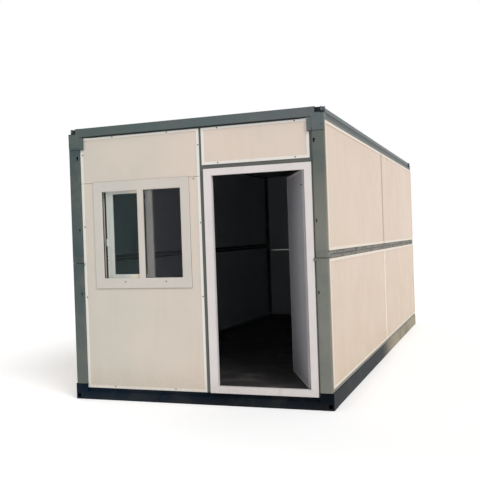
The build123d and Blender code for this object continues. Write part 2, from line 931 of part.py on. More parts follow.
# The leaf stands open. In its plane X runs from the hinge along the leaf, and +Y points out of
# the outer face
leaf_plane = Plane(Location((hinge_x, hinge_y, 0), (0, 0, 180 - leaf_open_angle)))
leaf_start = door_hinge_offset
leaf_end = door_hinge_offset + leaf_width
leaf_inside = door_hinge_stand
leaf_outside = door_hinge_stand + leaf_thickness
with BuildPart() as door_leaf:
    with BuildSketch(leaf_plane.offset(leaf_low + leaf_edge_gauge)):
        edged(
            leaf_start + leaf_edge_gauge,
            leaf_end - leaf_edge_gauge,
            leaf_inside + leaf_edge_gauge,
            leaf_outside - leaf_edge_gauge,
        )
    extrude(amount=leaf_high - leaf_low - 2 * leaf_edge_gauge)
write(door_leaf, "door_leaf")

# Edge profile: a thin channel round the leaf that grips both faces
with BuildPart() as door_edge:
    with BuildSketch(leaf_plane.offset(leaf_low)):
        edged(leaf_start, leaf_end, leaf_inside, leaf_outside)
    extrude(amount=leaf_high - leaf_low)
    with BuildSketch(leaf_plane.offset(leaf_low + leaf_edge)):
        edged(leaf_start + leaf_edge, leaf_end - leaf_edge, leaf_inside, leaf_outside)
    extrude(amount=leaf_high - leaf_low - 2 * leaf_edge, mode=Mode.SUBTRACT)
    add(door_leaf.part, mode=Mode.SUBTRACT)
write(door_edge, "door_edge")

# Moving halves of the door hinges: a plate on the inner face, and the upper knuckle on the pin
with BuildPart() as door_hinges:
    for level in hinge_levels:
        with BuildSketch(leaf_plane.offset(level + door_knuckle_gap / 2)):
            Circle(door_knuckle_radius)
            edged(0, door_hinge_leaf, leaf_inside - seat - door_hinge_plate, leaf_inside - seat)
            Circle(door_pin_radius + door_pin_play, mode=Mode.SUBTRACT)
        extrude(amount=door_knuckle_length)
write(door_hinges, "door_hinges")
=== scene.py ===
import math
from functools import reduce

import bpy
import numpy as np
from mathutils import Matrix, Vector


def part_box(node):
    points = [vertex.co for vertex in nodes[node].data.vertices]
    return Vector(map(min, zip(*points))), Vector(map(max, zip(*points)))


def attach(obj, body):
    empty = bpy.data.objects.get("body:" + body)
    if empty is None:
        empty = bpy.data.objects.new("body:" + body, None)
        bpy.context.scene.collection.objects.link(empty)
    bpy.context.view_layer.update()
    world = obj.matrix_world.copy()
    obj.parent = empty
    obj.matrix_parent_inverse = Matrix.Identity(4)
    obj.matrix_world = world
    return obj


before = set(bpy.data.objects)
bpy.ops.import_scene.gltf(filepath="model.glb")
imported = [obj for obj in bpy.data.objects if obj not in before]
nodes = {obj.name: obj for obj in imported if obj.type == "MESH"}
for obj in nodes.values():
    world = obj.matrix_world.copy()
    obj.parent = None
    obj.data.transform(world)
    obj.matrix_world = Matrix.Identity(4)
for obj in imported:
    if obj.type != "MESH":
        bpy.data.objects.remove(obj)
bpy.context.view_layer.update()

# Folding container house: paint, panels, glass, dirt, screws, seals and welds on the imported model
scene = bpy.context.scene
scene.view_settings.view_transform = "Standard"
print("stage 1: frame loaded,", len(nodes), "nodes")

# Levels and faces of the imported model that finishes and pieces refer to
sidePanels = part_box("right_upper_wall_panels")
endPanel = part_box("transom_panel")
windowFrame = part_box("window_frame")
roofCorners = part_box("roof_corners")
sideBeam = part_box("roof_right_beam")
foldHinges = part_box("right_fold_hinges")
halfWidth = sidePanels[1].x
halfLength = roofCorners[1].y
roofTop = roofCorners[1].z
foldLevel = (foldHinges[0].z + foldHinges[1].z) / 2


# Camera, where the photograph was taken from
cameraView = {
    "place": (2.6318, -8.9090, 1.4896),
    "turnedLeft": 20.015,  # degrees off the length of the house
    "tiltedDown": 0.279,
    "rolled": -2.0,
    "lens": 54.53,
    "sensor": 36.0,
    "farClip": 200.0,
}


def makeCamera(view):
    turn = math.radians(view["turnedLeft"])
    tilt = math.radians(view["tiltedDown"])
    roll = math.radians(view["rolled"])
    forward = Vector((-math.sin(turn) * math.cos(tilt), math.cos(turn) * math.cos(tilt), -math.sin(tilt)))
    level = forward.cross(Vector((0, 0, 1))).normalized()
    upright = level.cross(forward)
    right = math.cos(roll) * level + math.sin(roll) * upright
    up = math.cos(roll) * upright - math.sin(roll) * level
    data = bpy.data.cameras.new("camera")
    data.lens = view["lens"]
    data.sensor_width = view["sensor"]
    data.clip_end = view["farClip"]
    camera = bpy.data.objects.new("camera", data)
    facing = Matrix((right, up, -forward)).transposed().to_4x4()
    camera.matrix_world = Matrix.Translation(view["place"]) @ facing
    scene.collection.objects.link(camera)
    scene.camera = camera


makeCamera(cameraView)


# Small helpers for node trees
def newMaterial(name):
    material = bpy.data.materials.new(name)
    material.use_nodes = True
    tree = material.node_tree
    tree.nodes.clear()
    output = tree.nodes.new("ShaderNodeOutputMaterial")
    shader = tree.nodes.new("ShaderNodeBsdfPrincipled")
    tree.links.new(shader.outputs["BSDF"], output.inputs["Surface"])
    return material, tree, shader


# Values that are sockets are linked, the others are set
def fill(tree, node, values):
    for socket, value in values.items():
        if isinstance(value, bpy.types.NodeSocket):
            tree.links.new(value, node.inputs[socket])
        else:
            node.inputs[socket].default_value = value
    return node


def put(tree, kind, values, **settings):
    node = tree.nodes.new(kind)
    for key, value in settings.items():
        setattr(node, key, value)
    return fill(tree, node, values)


def putGroup(tree, group, values):
    node = tree.nodes.new("ShaderNodeGroup")
    node.node_tree = group
    return fill(tree, node, values)


def math2(tree, operation, first, second, clamp=False):
    values = {0: first, 1: second}
    return put(tree, "ShaderNodeMath", values, operation=operation, use_clamp=clamp).outputs[0]


def times(tree, *values):
    return reduce(lambda first, second: math2(tree, "MULTIPLY", first, second), values)


# Distance of a value from a centre
def apart(tree, value, centre):
    return math2(tree, "ABSOLUTE", math2(tree, "SUBTRACT", value, centre), 0.0)


# Colour of the second laid over the first where the mask is 1
def over(tree, mask, first, second):
    return put(tree, "ShaderNodeMix", {0: mask, 6: first, 7: second}, data_type="RGBA").outputs[2]


# Smooth step from outLow to outHigh while the value goes from the first limit to the second
def ramp(tree, value, limits, outLow=0.0, outHigh=1.0):
    values = {0: value, 1: limits[0], 2: limits[1], 3: outLow, 4: outHigh}
    return put(tree, "ShaderNodeMapRange", values, interpolation_type="SMOOTHSTEP").outputs[0]


def noise(tree, place, scale, detail, roughness=0.5):
    values = {"Vector": place, "Scale": scale, "Detail": detail, "Roughness": roughness}
    return put(tree, "ShaderNodeTexNoise", values).outputs["Fac"]


# A colour written as the eye sees it, 0 to 255
def shade(red, green, blue):
    values = np.array([red, green, blue]) / 255
    linear = np.where(values <= 0.04045, values / 12.92, ((values + 0.055) / 1.055) ** 2.4)
    return (*linear.tolist(), 1.0)


def newGroup(name, inputs, output):
    group = bpy.data.node_groups.new(name, "ShaderNodeTree")
    for label, kind, value in inputs:
        socket = group.interface.new_socket(label, in_out="INPUT", socket_type=kind)
        socket.default_value = value
    group.interface.new_socket(output, in_out="OUTPUT", socket_type="NodeSocketFloat")
    start = group.nodes.new("NodeGroupInput")
    end = group.nodes.new("NodeGroupOutput")
    return group, start.outputs, end.inputs


def objectPlace(tree):
    return put(tree, "ShaderNodeTexCoord", {}).outputs["Object"]


def separatePlace(tree):
    return put(tree, "ShaderNodeSeparateXYZ", {0: objectPlace(tree)}).outputs


# How the shared effects are drawn, whatever wears them
effects = {
    "patches": {"detail": 6.0, "roughness": 0.62},
    "edgeWear": {"samples": 4, "turned": (0.985, 0.80), "detail": 4.0, "broken": (0.42, 0.6)},
    "groundDust": {
        "cloud": {"scale": 5.0, "detail": 5.0}, "fine": {"scale": 45.0, "detail": 3.0},
        "wander": 0.5, "leastTop": 0.75, "speckled": (0.3, 0.65), "leastSpeckle": 0.55,
    },
    "grain": {"detail": 2.0},
}


# Cloudy patches: noise on stretched object coordinates, cut to a soft edged mask
def makePatches(look):
    group, given, result = newGroup(
        "patches",
        [
            ("Scale", "NodeSocketFloat", 3.0),
            ("Stretch", "NodeSocketVector", (1, 1, 1)),
            ("Low", "NodeSocketFloat", 0.4),
            ("High", "NodeSocketFloat", 0.6),
            ("Offset", "NodeSocketFloat", 0.0),
        ],
        "Mask",
    )
    stretch = {0: objectPlace(group), 1: given["Stretch"]}
    stretched = put(group, "ShaderNodeVectorMath", stretch, operation="MULTIPLY").outputs[0]
    offset = {0: stretched, 1: given["Offset"]}
    moved = put(group, "ShaderNodeVectorMath", offset, operation="ADD").outputs[0]
    cloud = noise(group, moved, given["Scale"], **look)
    group.links.new(ramp(group, cloud, (given["Low"], given["High"])), result["Mask"])
    return group


# Worn edges: how far the rounded normal turns from the real one, broken up by noise
def makeEdgeWear(look):
    group, given, result = newGroup(
        "edgeWear",
        [
            ("Radius", "NodeSocketFloat", 0.004),
            ("Breakup", "NodeSocketFloat", 60.0),
            ("Amount", "NodeSocketFloat", 1.0),
        ],
        "Mask",
    )
    rounded = put(group, "ShaderNodeBevel", {"Radius": given["Radius"]}, samples=look["samples"]).outputs[0]
    normals = {0: rounded, 1: put(group, "ShaderNodeNewGeometry", {}).outputs["Normal"]}
    turned = put(group, "ShaderNodeVectorMath", normals, operation="DOT_PRODUCT").outputs["Value"]
    edge = ramp(group, turned, look["turned"])
    broken = ramp(group, noise(group, objectPlace(group), given["Breakup"], look["detail"]), look["broken"])
    mask = math2(group, "MULTIPLY", times(group, edge, broken), given["Amount"], clamp=True)
    group.links.new(mask, result["Mask"])
    return group


# Dust that thins out with height, up to a top that wanders with noise, in fine speckles
def makeGroundDust(look):
    group, given, result = newGroup(
        "groundDust",
        [("Top", "NodeSocketFloat", 0.5), ("Amount", "NodeSocketFloat", 0.6)],
        "Mask",
    )
    wander = {0: noise(group, objectPlace(group), **look["cloud"]), 1: look["wander"], 2: look["leastTop"]}
    lifted = put(group, "ShaderNodeMath", wander, operation="MULTIPLY_ADD").outputs[0]
    height = math2(group, "DIVIDE", separatePlace(group)["Z"], times(group, given["Top"], lifted))
    band = ramp(group, height, (1.0, 0.0))
    fine = noise(group, objectPlace(group), **look["fine"])
    speckle = ramp(group, fine, look["speckled"], look["leastSpeckle"], 1.0)
    mask = math2(group, "MULTIPLY", times(group, band, speckle), given["Amount"], clamp=True)
    group.links.new(mask, result["Mask"])
    return group


# Fine relief of a sprayed or rolled surface
def makeGrain(look):
    group, given, result = newGroup(
        "grain",
        [("Scale", "NodeSocketFloat", 300.0), ("Depth", "NodeSocketFloat", 0.3)],
        "Height",
    )
    fine = noise(group, objectPlace(group), given["Scale"], look["detail"])
    group.links.new(times(group, fine, given["Depth"]), result["Height"])
    return group


patches = makePatches(effects["patches"])
edgeWear = makeEdgeWear(effects["edgeWear"])
groundDust = makeGroundDust(effects["groundDust"])
grain = makeGrain(effects["grain"])
print("stage 2: shared effects made")


# A stretch under 1 draws the patches out along that axis
def patchMask(tree, scale, limits, stretch=(1, 1, 1), offset=0.0):
    values = {"Scale": scale, "Stretch": stretch, "Low": limits[0], "High": limits[1], "Offset": offset}
    return putGroup(tree, patches, values).outputs["Mask"]


def wornMask(tree, radius, breakup, amount):
    values = {"Radius": radius, "Breakup": breakup, "Amount": amount}
    return putGroup(tree, edgeWear, values).outputs["Mask"]


def dustMask(tree, top, amount):
    return putGroup(tree, groundDust, {"Top": top, "Amount": amount}).outputs["Mask"]


def grainHeight(tree, scale, depth):
    return putGroup(tree, grain, {"Scale": scale, "Depth": depth}).outputs["Height"]


def bumped(tree, height, strength, distance):
    values = {"Height": height, "Strength": strength, "Distance": distance}
    return put(tree, "ShaderNodeBump", values).outputs["Normal"]


# What a steel finish has unless it says otherwise: dustTop in metres, the others as shares from 0 to 1
plainSteel = {
    "dustTop": 0.3, "dustAmount": 0.25, "rearDustAndSunlight": 0.0, "foldDirt": 0.0,
    "lining": 0.0, "groove": 0.0, "pocket": 0.0, "joints": 0.0, "shine": 0.22,
}

# Grey green steel: tones of its left, right and lower parts, a second tone in patches, dust and rust; the
# lighter right tone is partly dust and partly painted sunlight from the right, and the base's dark tones
# are painted shadow
steelPaint = {
    "frame": plainSteel | {
        "left": shade(80, 90, 90), "right": shade(100, 102, 99), "low": shade(106, 106, 102),
        "second": shade(92, 96, 94), "dust": shade(130, 128, 120), "rust": shade(104, 72, 52),
        "rustAmount": 0.2, "dirtAmount": 0.12, "lining": 1.0,
    },
    # Rails: the dark line at the post joint is painted shade in the gap
    "rails": plainSteel | {
        "left": shade(60, 76, 78), "right": shade(86, 96, 94), "low": shade(126, 127, 119),
        "second": shade(86, 95, 92), "dust": shade(130, 123, 109), "rust": shade(112, 74, 50),
        "rustAmount": 0.4, "dirtAmount": 0.22, "foldDirt": 0.9, "lining": 1.0, "joints": 0.75,
    },
    # Base: its dark tones are the slate paint darkened into painted shadow; towards the rear its beige is
    # dust and painted sunlight
    "base": plainSteel | {
        "left": shade(10, 30, 46), "right": shade(4, 12, 22), "low": shade(4, 12, 22),
        "second": shade(10, 28, 44), "dust": shade(166, 156, 132), "rust": shade(92, 66, 52),
        "rustAmount": 0.2, "dirtAmount": 0.03, "dustTop": 0.1, "dustAmount": 0.03,
        "rearDustAndSunlight": 0.8, "shine": 0.05,
    },
    # Roof: dark lines and patches of painted shade in the side beams' grooves, in the lifting pockets and
    # in the gap at the legs' ends
    "roof": plainSteel | {
        "left": shade(78, 93, 90), "right": shade(90, 102, 105), "low": shade(90, 102, 105),
        "second": shade(96, 98, 97), "dust": shade(122, 116, 110), "rust": shade(110, 80, 62),
        "rustAmount": 0.25, "dirtAmount": 0.18, "dustTop": 0.1, "dustAmount": 0.0,
        "rearDustAndSunlight": 0.25, "groove": 0.95, "pocket": 0.9, "joints": 0.75,
    },
    "inner": plainSteel | {
        "left": shade(72, 80, 80), "right": shade(78, 84, 82), "low": shade(78, 84, 82),
        "second": shade(84, 88, 84), "dust": shade(110, 104, 92), "rust": shade(94, 68, 50),
        "rustAmount": 0.3, "dirtAmount": 0.2, "dustTop": 0.4, "dustAmount": 0.3,
    },
}
# The two darkest colours are painted shade, in the beams' grooves, the lifting pockets and the joint gaps
steelMarks = {
    "foldDust": shade(106, 99, 86), "foldGrime": shade(52, 52, 46), "line": shade(16, 22, 30),
    "pocket": shade(20, 20, 22), "room": shade(204, 208, 212),
}
steelPatterns = {
    "cloud": {"scale": 1.6, "limits": (0.38, 0.72)},
    "dirt": {"scale": 3.4, "limits": (0.46, 0.66), "offset": 3.1},
    "streaks": {"scale": 9.0, "limits": (0.56, 0.74), "stretch": (1, 1, 0.12)},
    "foldSmears": {"scale": 13.0, "limits": (0.30, 0.52), "stretch": (1, 0.3, 1.6), "offset": 6.0},
    "foldGrime": {"scale": 17.0, "limits": (0.48, 0.62), "stretch": (1, 0.3, 1.6), "offset": 2.0},
    "rearDustAndSunlight": {"scale": 2.0, "limits": (0.15, 0.5)},
    "rustSpots": {"scale": 11.0, "limits": (0.66, 0.74), "offset": 7.7},
}
steelSurface = {
    "cloudShare": 0.55, "lowShare": 0.3, "postFaceShare": 0.15,
    "rough": (0.46, 0.85), "dustRough": 0.25, "rustRelief": 0.8,
    "wear": {"radius": 0.004, "breakup": 38.0},
    "grain": {"scale": 260.0, "depth": 0.5}, "bump": {"strength": 0.35, "distance": 0.0006},
}

# Where the steel changes, in metres: a pair is the places where a change starts and where it is full
steelPlaces = {
    "rightward": (-1.3, 1.3),
    "lowOnRight": (2.35, 1.3),
    "low": (1.45, 0.35),
    "rearward": (-0.45, 0.5),
    "foldReach": (0.05, 0.03),
    "postFace": (halfLength - 0.004, halfLength - 0.010),
    "room": (sidePanels[0].x + 0.004, sidePanels[0].x),
    "roomFront": (0.090 - halfLength, 0.100 - halfLength),
    "roomRear": (halfLength - 0.055, halfLength - 0.060),
    # Where the painted shade lies: the side beams' grooves, the lifting pockets and the joint gaps of legs
    # and posts
    "grooveLevel": 0.55 * sideBeam[0].z + 0.45 * sideBeam[1].z,
    "grooveReach": (0.013, 0.009),
    "grooveFace": (halfWidth - 0.045, halfWidth - 0.035),
    "pocketAcross": 1.1865,
    "pocketReach": (0.0240, 0.0225),
    "pocketLevel": (roofTop - 0.054, roofTop - 0.050),
    "pocketDepth": (halfLength - 0.050, halfLength - 0.045),
    "legEnd": roofCorners[0].z,
    "postJoint": foldLevel - 0.026,
    "jointReach": (0.005, 0.002),
    "jointEnds": (halfLength - 0.100, halfLength - 0.090),
}


# Paint turns from its left to its right tone across the house and to its low tone further down; the right
# tone is partly painted sunlight
def steelTone(tree, place, look):
    rightward = ramp(tree, place["X"], steelPlaces["rightward"])
    lowOnRight = times(tree, rightward, ramp(tree, place["Z"], steelPlaces["lowOnRight"]))
    lowAll = ramp(tree, place["Z"], steelPlaces["low"], 0.0, steelSurface["lowShare"])
    upper = over(tree, rightward, look["left"], look["right"])
    paint = over(tree, math2(tree, "MAXIMUM", lowOnRight, lowAll), upper, look["low"])
    cloud = times(tree, patchMask(tree, **steelPatterns["cloud"]), steelSurface["cloudShare"])
    tone = over(tree, cloud, paint, look["second"])
    dirt = times(tree, patchMask(tree, **steelPatterns["dirt"]), look["dirtAmount"])
    dirty = over(tree, dirt, tone, look["dust"])
    streaks = times(tree, patchMask(tree, **steelPatterns["streaks"]), look["dirtAmount"])
    return over(tree, streaks, dirty, look["second"])


# Smeared dust and grime in a band along the fold, little of it on the faces of the corner posts
def foldDirt(tree, place, look, colour):
    reach = ramp(tree, apart(tree, place["Z"], foldLevel), steelPlaces["foldReach"])
    fromMiddle = apart(tree, place["Y"], 0.0)
    behindFace = ramp(tree, fromMiddle, steelPlaces["postFace"], steelSurface["postFaceShare"], 1.0)
    band = times(tree, reach, behindFace, look["foldDirt"])
    smears = times(tree, band, patchMask(tree, **steelPatterns["foldSmears"]))
    dusted = over(tree, smears, colour, steelMarks["foldDust"])
    grime = times(tree, band, patchMask(tree, **steelPatterns["foldGrime"]))
    return over(tree, grime, dusted, steelMarks["foldGrime"])


# The room side of the frames is painted like the lining of the panels
def roomSide(tree, place, look, colour):
    inward = ramp(tree, apart(tree, place["X"], 0.0), steelPlaces["room"])
    front = ramp(tree, place["Y"], steelPlaces["roomFront"])
    rear = ramp(tree, place["Y"], steelPlaces["roomRear"])
    return over(tree, times(tree, inward, front, rear, look["lining"]), colour, steelMarks["room"])


# Painted shade: a dark line in the side beams' grooves, dark lifting pockets, and dark lines in the gaps
# where the legs and posts meet
def shadeMarks(tree, place, look, colour):
    fromCentre = apart(tree, place["X"], 0.0)
    fromMiddle = apart(tree, place["Y"], 0.0)
    nearGroove = ramp(tree, apart(tree, place["Z"], steelPlaces["grooveLevel"]), steelPlaces["grooveReach"])
    groove = times(tree, nearGroove, ramp(tree, fromCentre, steelPlaces["grooveFace"]), look["groove"])
    grooved = over(tree, groove, colour, steelMarks["line"])
    across = ramp(tree, apart(tree, fromCentre, steelPlaces["pocketAcross"]), steelPlaces["pocketReach"])
    level = ramp(tree, place["Z"], steelPlaces["pocketLevel"])
    depth = ramp(tree, fromMiddle, steelPlaces["pocketDepth"])
    pocketed = over(tree, times(tree, across, level, depth, look["pocket"]), grooved, steelMarks["pocket"])
    fromLeg = apart(tree, place["Z"], steelPlaces["legEnd"])
    fromJoint = apart(tree, place["Z"], steelPlaces["postJoint"])
    near = ramp(tree, math2(tree, "MINIMUM", fromLeg, fromJoint), steelPlaces["jointReach"])
    joints = times(tree, near, ramp(tree, fromMiddle, steelPlaces["jointEnds"]), look["joints"])
    return over(tree, joints, pocketed, steelMarks["line"])


def makeSteelPaint(name, look):
    material, tree, shader = newMaterial(name)
    place = separatePlace(tree)
    lined = roomSide(tree, place, look, foldDirt(tree, place, look, steelTone(tree, place, look)))
    # Towards the rear: dust, and on the base the beige of painted sunlight too
    rearCloud = patchMask(tree, **steelPatterns["rearDustAndSunlight"])
    rearward = times(tree, ramp(tree, place["Y"], steelPlaces["rearward"]), rearCloud, look["rearDustAndSunlight"])
    backed = over(tree, rearward, lined, look["dust"])
    ground = dustMask(tree, look["dustTop"], look["dustAmount"])
    dusty = over(tree, ground, backed, look["dust"])
    spots = times(tree, patchMask(tree, **steelPatterns["rustSpots"]), look["rustAmount"])
    worn = wornMask(tree, amount=look["rustAmount"], **steelSurface["wear"])
    rust = math2(tree, "MAXIMUM", worn, spots)
    rough = ramp(tree, rust, (0.0, 1.0), *steelSurface["rough"])
    dustRough = times(tree, ground, steelSurface["dustRough"])
    rustRelief = times(tree, rust, steelSurface["rustRelief"])
    relief = math2(tree, "ADD", grainHeight(tree, **steelSurface["grain"]), rustRelief)
    fill(tree, shader, {
        "Base Color": shadeMarks(tree, place, look, over(tree, rust, dusty, look["rust"])),
        "Roughness": math2(tree, "ADD", rough, dustRough, clamp=True),
        "Specular IOR Level": look["shine"],
        "Normal": bumped(tree, relief, **steelSurface["bump"]),
    })
    return material


# Sandwich panels: a warm white skin, its warm tones partly painted sunlight on the right of the end walls
# and on the side walls, a whiter trim round it, plain lining on the room side
panelSkin = {
    "cool": shade(204, 198, 186),
    "warm": shade(229, 211, 197),
    "trim": shade(233, 230, 223),
    # Side tones: warm as painted sunlight, darker further down as painted shade, and a seam tone of painted
    # shade
    "side": shade(215, 195, 177),
    "sideWarm": shade(220, 200, 182),
    "sideLowShade": shade(211, 190, 169),
    "sideTrim": shade(230, 218, 204),
    "seamShade": shade(178, 162, 148),
    "seamPale": shade(240, 229, 214),
    "dust": shade(178, 160, 136),
    "lining": steelMarks["room"],
}
panelPatterns = {
    "wander": {"scale": 0.7, "limits": (0.3, 0.7)},
    "sideTone": {"scale": 0.6, "limits": (0.3, 0.7)},
    "wash": {"scale": 7.0, "limits": (0.5, 0.72), "stretch": (1, 1, 0.1), "offset": 1.3},
    "gloss": {"scale": 2.5, "limits": (0.3, 0.7)},
    "ripple": {"scale": 2.2, "limits": (0.2, 0.8), "offset": 5.0},
}
panelSurface = {
    "washShare": 0.08, "ground": {"top": 0.42, "amount": 0.4}, "rough": (0.42, 0.56), "rippleRelief": 2.0,
    "grain": {"scale": 420.0, "depth": 0.15}, "bump": {"strength": 0.25, "distance": 0.0008},
}

# The trim's outer face, and how far inside it the trim's colour starts and is full and the lining begins
panelFaces = {
    "end": {"axis": "Y", "face": -endPanel[0].y, "trim": (0.0035, 0.0005), "lining": 0.045},
    "side": {"axis": "X", "face": halfWidth, "trim": (0.0045, 0.0005), "lining": 0.055},
}
panelPlaces = {
    "shadeToSunlight": (-1.2, 1.2),
    "sideLowShade": (1.7, 0.3),
    "seamReach": (0.034, 0.022),
    "seamLevel": (foldLevel - 0.01, foldLevel + 0.01),
    "liningBlend": 0.002,
}


# End walls run from a cool left to a warm right, the warm right painted sunlight, with the border between
# them wandering
def endSkin(tree, place, trimMask):
    rightward = ramp(tree, place["X"], panelPlaces["shadeToSunlight"])
    blend = times(tree, math2(tree, "ADD", rightward, patchMask(tree, **panelPatterns["wander"])), 0.5)
    return over(tree, trimMask, over(tree, blend, panelSkin["cool"], panelSkin["warm"]), panelSkin["trim"])


# Side walls darken a little further down as painted shade and have a seam in the middle, dark above as
# painted shade of its gap and pale below
def sideSkin(tree, place, trimMask):
    cloud = patchMask(tree, **panelPatterns["sideTone"])
    upper = over(tree, cloud, panelSkin["side"], panelSkin["sideWarm"])
    skin = over(tree, ramp(tree, place["Z"], panelPlaces["sideLowShade"]), upper, panelSkin["sideLowShade"])
    trimmed = over(tree, trimMask, skin, panelSkin["sideTrim"])
    seamUp = ramp(tree, place["Z"], panelPlaces["seamLevel"])
    seamTone = over(tree, seamUp, panelSkin["seamPale"], panelSkin["seamShade"])
    return over(tree, ramp(tree, apart(tree, place["Y"], 0.0), panelPlaces["seamReach"]), trimmed, seamTone)


def makePanel(name, side, sign, makeSkin):
    material, tree, shader = newMaterial(name)
    place = separatePlace(tree)
    outward = times(tree, place[side["axis"]], sign)
    trimMask = ramp(tree, outward, [side["face"] - depth for depth in side["trim"]])
    wash = times(tree, patchMask(tree, **panelPatterns["wash"]), panelSurface["washShare"])
    washed = over(tree, wash, makeSkin(tree, place, trimMask), panelSkin["dust"])
    dusty = over(tree, dustMask(tree, **panelSurface["ground"]), washed, panelSkin["dust"])
    inner = side["face"] - side["lining"]
    blend = panelPlaces["liningBlend"]
    roomMask = ramp(tree, outward, (inner + blend, inner - blend))
    ripple = times(tree, patchMask(tree, **panelPatterns["ripple"]), panelSurface["rippleRelief"])
    relief = math2(tree, "ADD", ripple, grainHeight(tree, **panelSurface["grain"]))
    gloss = patchMask(tree, **panelPatterns["gloss"])
    fill(tree, shader, {
        "Base Color": over(tree, roomMask, dusty, panelSkin["lining"]),
        "Roughness": ramp(tree, gloss, (0.0, 1.0), *panelSurface["rough"]),
        "Normal": bumped(tree, relief, **panelSurface["bump"]),
    })
    return material


# White profiles of the door frame, the leaf's edge and the window
whiteProfile = {
    "doorFrame": {
        "left": shade(222, 216, 215), "right": shade(226, 219, 217), "second": shade(215, 207, 205),
        "grime": shade(160, 150, 140), "rough": (0.34, 0.50), "reveal": 0.0,
    },
    "doorEdge": {
        "left": shade(206, 203, 204), "right": shade(212, 208, 208), "second": shade(194, 190, 190),
        "grime": shade(140, 132, 124), "rough": (0.40, 0.56), "reveal": 0.0,
    },
    "window": {
        "left": shade(205, 200, 192), "right": shade(210, 202, 193), "second": shade(200, 194, 185),
        "grime": shade(156, 146, 134), "rough": (0.30, 0.46), "reveal": 0.95,
    },
    "sash": {
        "left": shade(192, 197, 190), "right": shade(242, 232, 206), "second": shade(184, 186, 176),
        "grime": shade(140, 138, 126), "rough": (0.32, 0.48), "reveal": 0.0,
    },
}
profileSurface = {
    "leftToRight": (-0.70, -0.55),  # where the sash turns from greenish white to beige
    "cloud": {"scale": 2.6, "limits": (0.35, 0.7)}, "cloudShare": 0.6,
    "smear": {"scale": 14.0, "limits": (0.58, 0.75), "stretch": (1, 1, 0.25)}, "smearShare": 0.22,
    "ground": {"top": 0.32, "amount": 0.35},
    "wear": {"radius": 0.003, "breakup": 50.0, "amount": 0.3},
    "gloss": {"scale": 5.0, "limits": (0.3, 0.7), "offset": 2.0},
    "grain": {"scale": 500.0, "depth": 0.2}, "bump": {"strength": 0.2, "distance": 0.0005},
}

# Dark brush seal in the left reveal of the window, measured from the edge and the front of the frame
revealSeal = {
    "across": windowFrame[0].x + 0.088,
    "reach": (0.0025, 0.0015),
    "depth": (windowFrame[0].y + 0.012, windowFrame[0].y + 0.014),
    "colour": shade(38, 34, 34),
}


def makeWhiteProfile(name, look):
    material, tree, shader = newMaterial(name)
    place = separatePlace(tree)
    across = over(tree, ramp(tree, place["X"], profileSurface["leftToRight"]), look["left"], look["right"])
    cloud = times(tree, patchMask(tree, **profileSurface["cloud"]), profileSurface["cloudShare"])
    tone = over(tree, cloud, across, look["second"])
    smear = times(tree, patchMask(tree, **profileSurface["smear"]), profileSurface["smearShare"])
    smeared = over(tree, smear, tone, look["grime"])
    dusty = over(tree, dustMask(tree, **profileSurface["ground"]), smeared, look["grime"])
    marked = over(tree, wornMask(tree, **profileSurface["wear"]), dusty, look["grime"])
    nearSeal = ramp(tree, apart(tree, place["X"], revealSeal["across"]), revealSeal["reach"])
    seal = times(tree, nearSeal, ramp(tree, place["Y"], revealSeal["depth"]), look["reveal"])
    relief = grainHeight(tree, **profileSurface["grain"])
    fill(tree, shader, {
        "Base Color": over(tree, seal, marked, revealSeal["colour"]),
        "Roughness": ramp(tree, patchMask(tree, **profileSurface["gloss"]), (0.0, 1.0), *look["rough"]),
        "Normal": bumped(tree, relief, **profileSurface["bump"]),
    })
    return material


# The leaf's tones are darker than its light grey-white as painted shade, with scuffs and dust near the
# ground
shadedLeafSkin = {
    "main": shade(184, 182, 188), "second": shade(174, 172, 178), "grime": shade(150, 146, 148),
    "cloud": {"scale": 1.4, "limits": (0.3, 0.7)},
    "scuff": {"scale": 10.0, "limits": (0.6, 0.75), "stretch": (1, 1, 0.4)}, "scuffShare": 0.3,
    "ground": {"top": 0.55, "amount": 0.45},
    "gloss": {"scale": 3.0, "limits": (0.3, 0.7)}, "rough": (0.48, 0.60),
    "grain": {"scale": 380.0, "depth": 0.25}, "bump": {"strength": 0.25, "distance": 0.0006},
}


def makeLeafSkin(look):
    material, tree, shader = newMaterial("shadedLeafSkin")
    tone = over(tree, patchMask(tree, **look["cloud"]), look["main"], look["second"])
    scuff = times(tree, patchMask(tree, **look["scuff"]), look["scuffShare"])
    scuffed = over(tree, scuff, tone, look["grime"])
    fill(tree, shader, {
        "Base Color": over(tree, dustMask(tree, **look["ground"]), scuffed, look["grime"]),
        "Roughness": ramp(tree, patchMask(tree, **look["gloss"]), (0.0, 1.0), *look["rough"]),
        "Normal": bumped(tree, grainHeight(tree, **look["grain"]), **look["bump"]),
    })
    return material


# Clear glass that shows the dark room, greener in the sash, bluer in the fixed pane, with a thin film
glassLook = {
    "sash": {
        "tint": (0.20, 0.34, 0.33, 1.0), "film": shade(60, 78, 76), "filmAmount": 0.5,
        "rough": (0.02, 0.12), "alpha": 0.8, "bend": 1.25,
    },
    "fixed": {
        "tint": (0.34, 0.36, 0.42, 1.0), "film": shade(50, 54, 76), "filmAmount": 0.2,
        "rough": (0.015, 0.115), "alpha": 0.7, "bend": 1.2,
    },
}
glassFilm = {
    "pattern": {"scale": 6.0, "limits": (0.5, 0.8), "stretch": (1, 1, 0.3)}, "dullest": 0.35, "clear": 0.98,
}


def makeGlass(name, look):
    material, tree, shader = newMaterial(name)
    film = times(tree, patchMask(tree, **glassFilm["pattern"]), look["filmAmount"])
    fill(tree, shader, {
        "Base Color": over(tree, film, look["tint"], look["film"]),
        "Roughness": ramp(tree, film, (0.0, glassFilm["dullest"]), *look["rough"]),
        "Transmission Weight": glassFilm["clear"],
        "IOR": look["bend"],
        "Alpha": look["alpha"],
    })
    return material


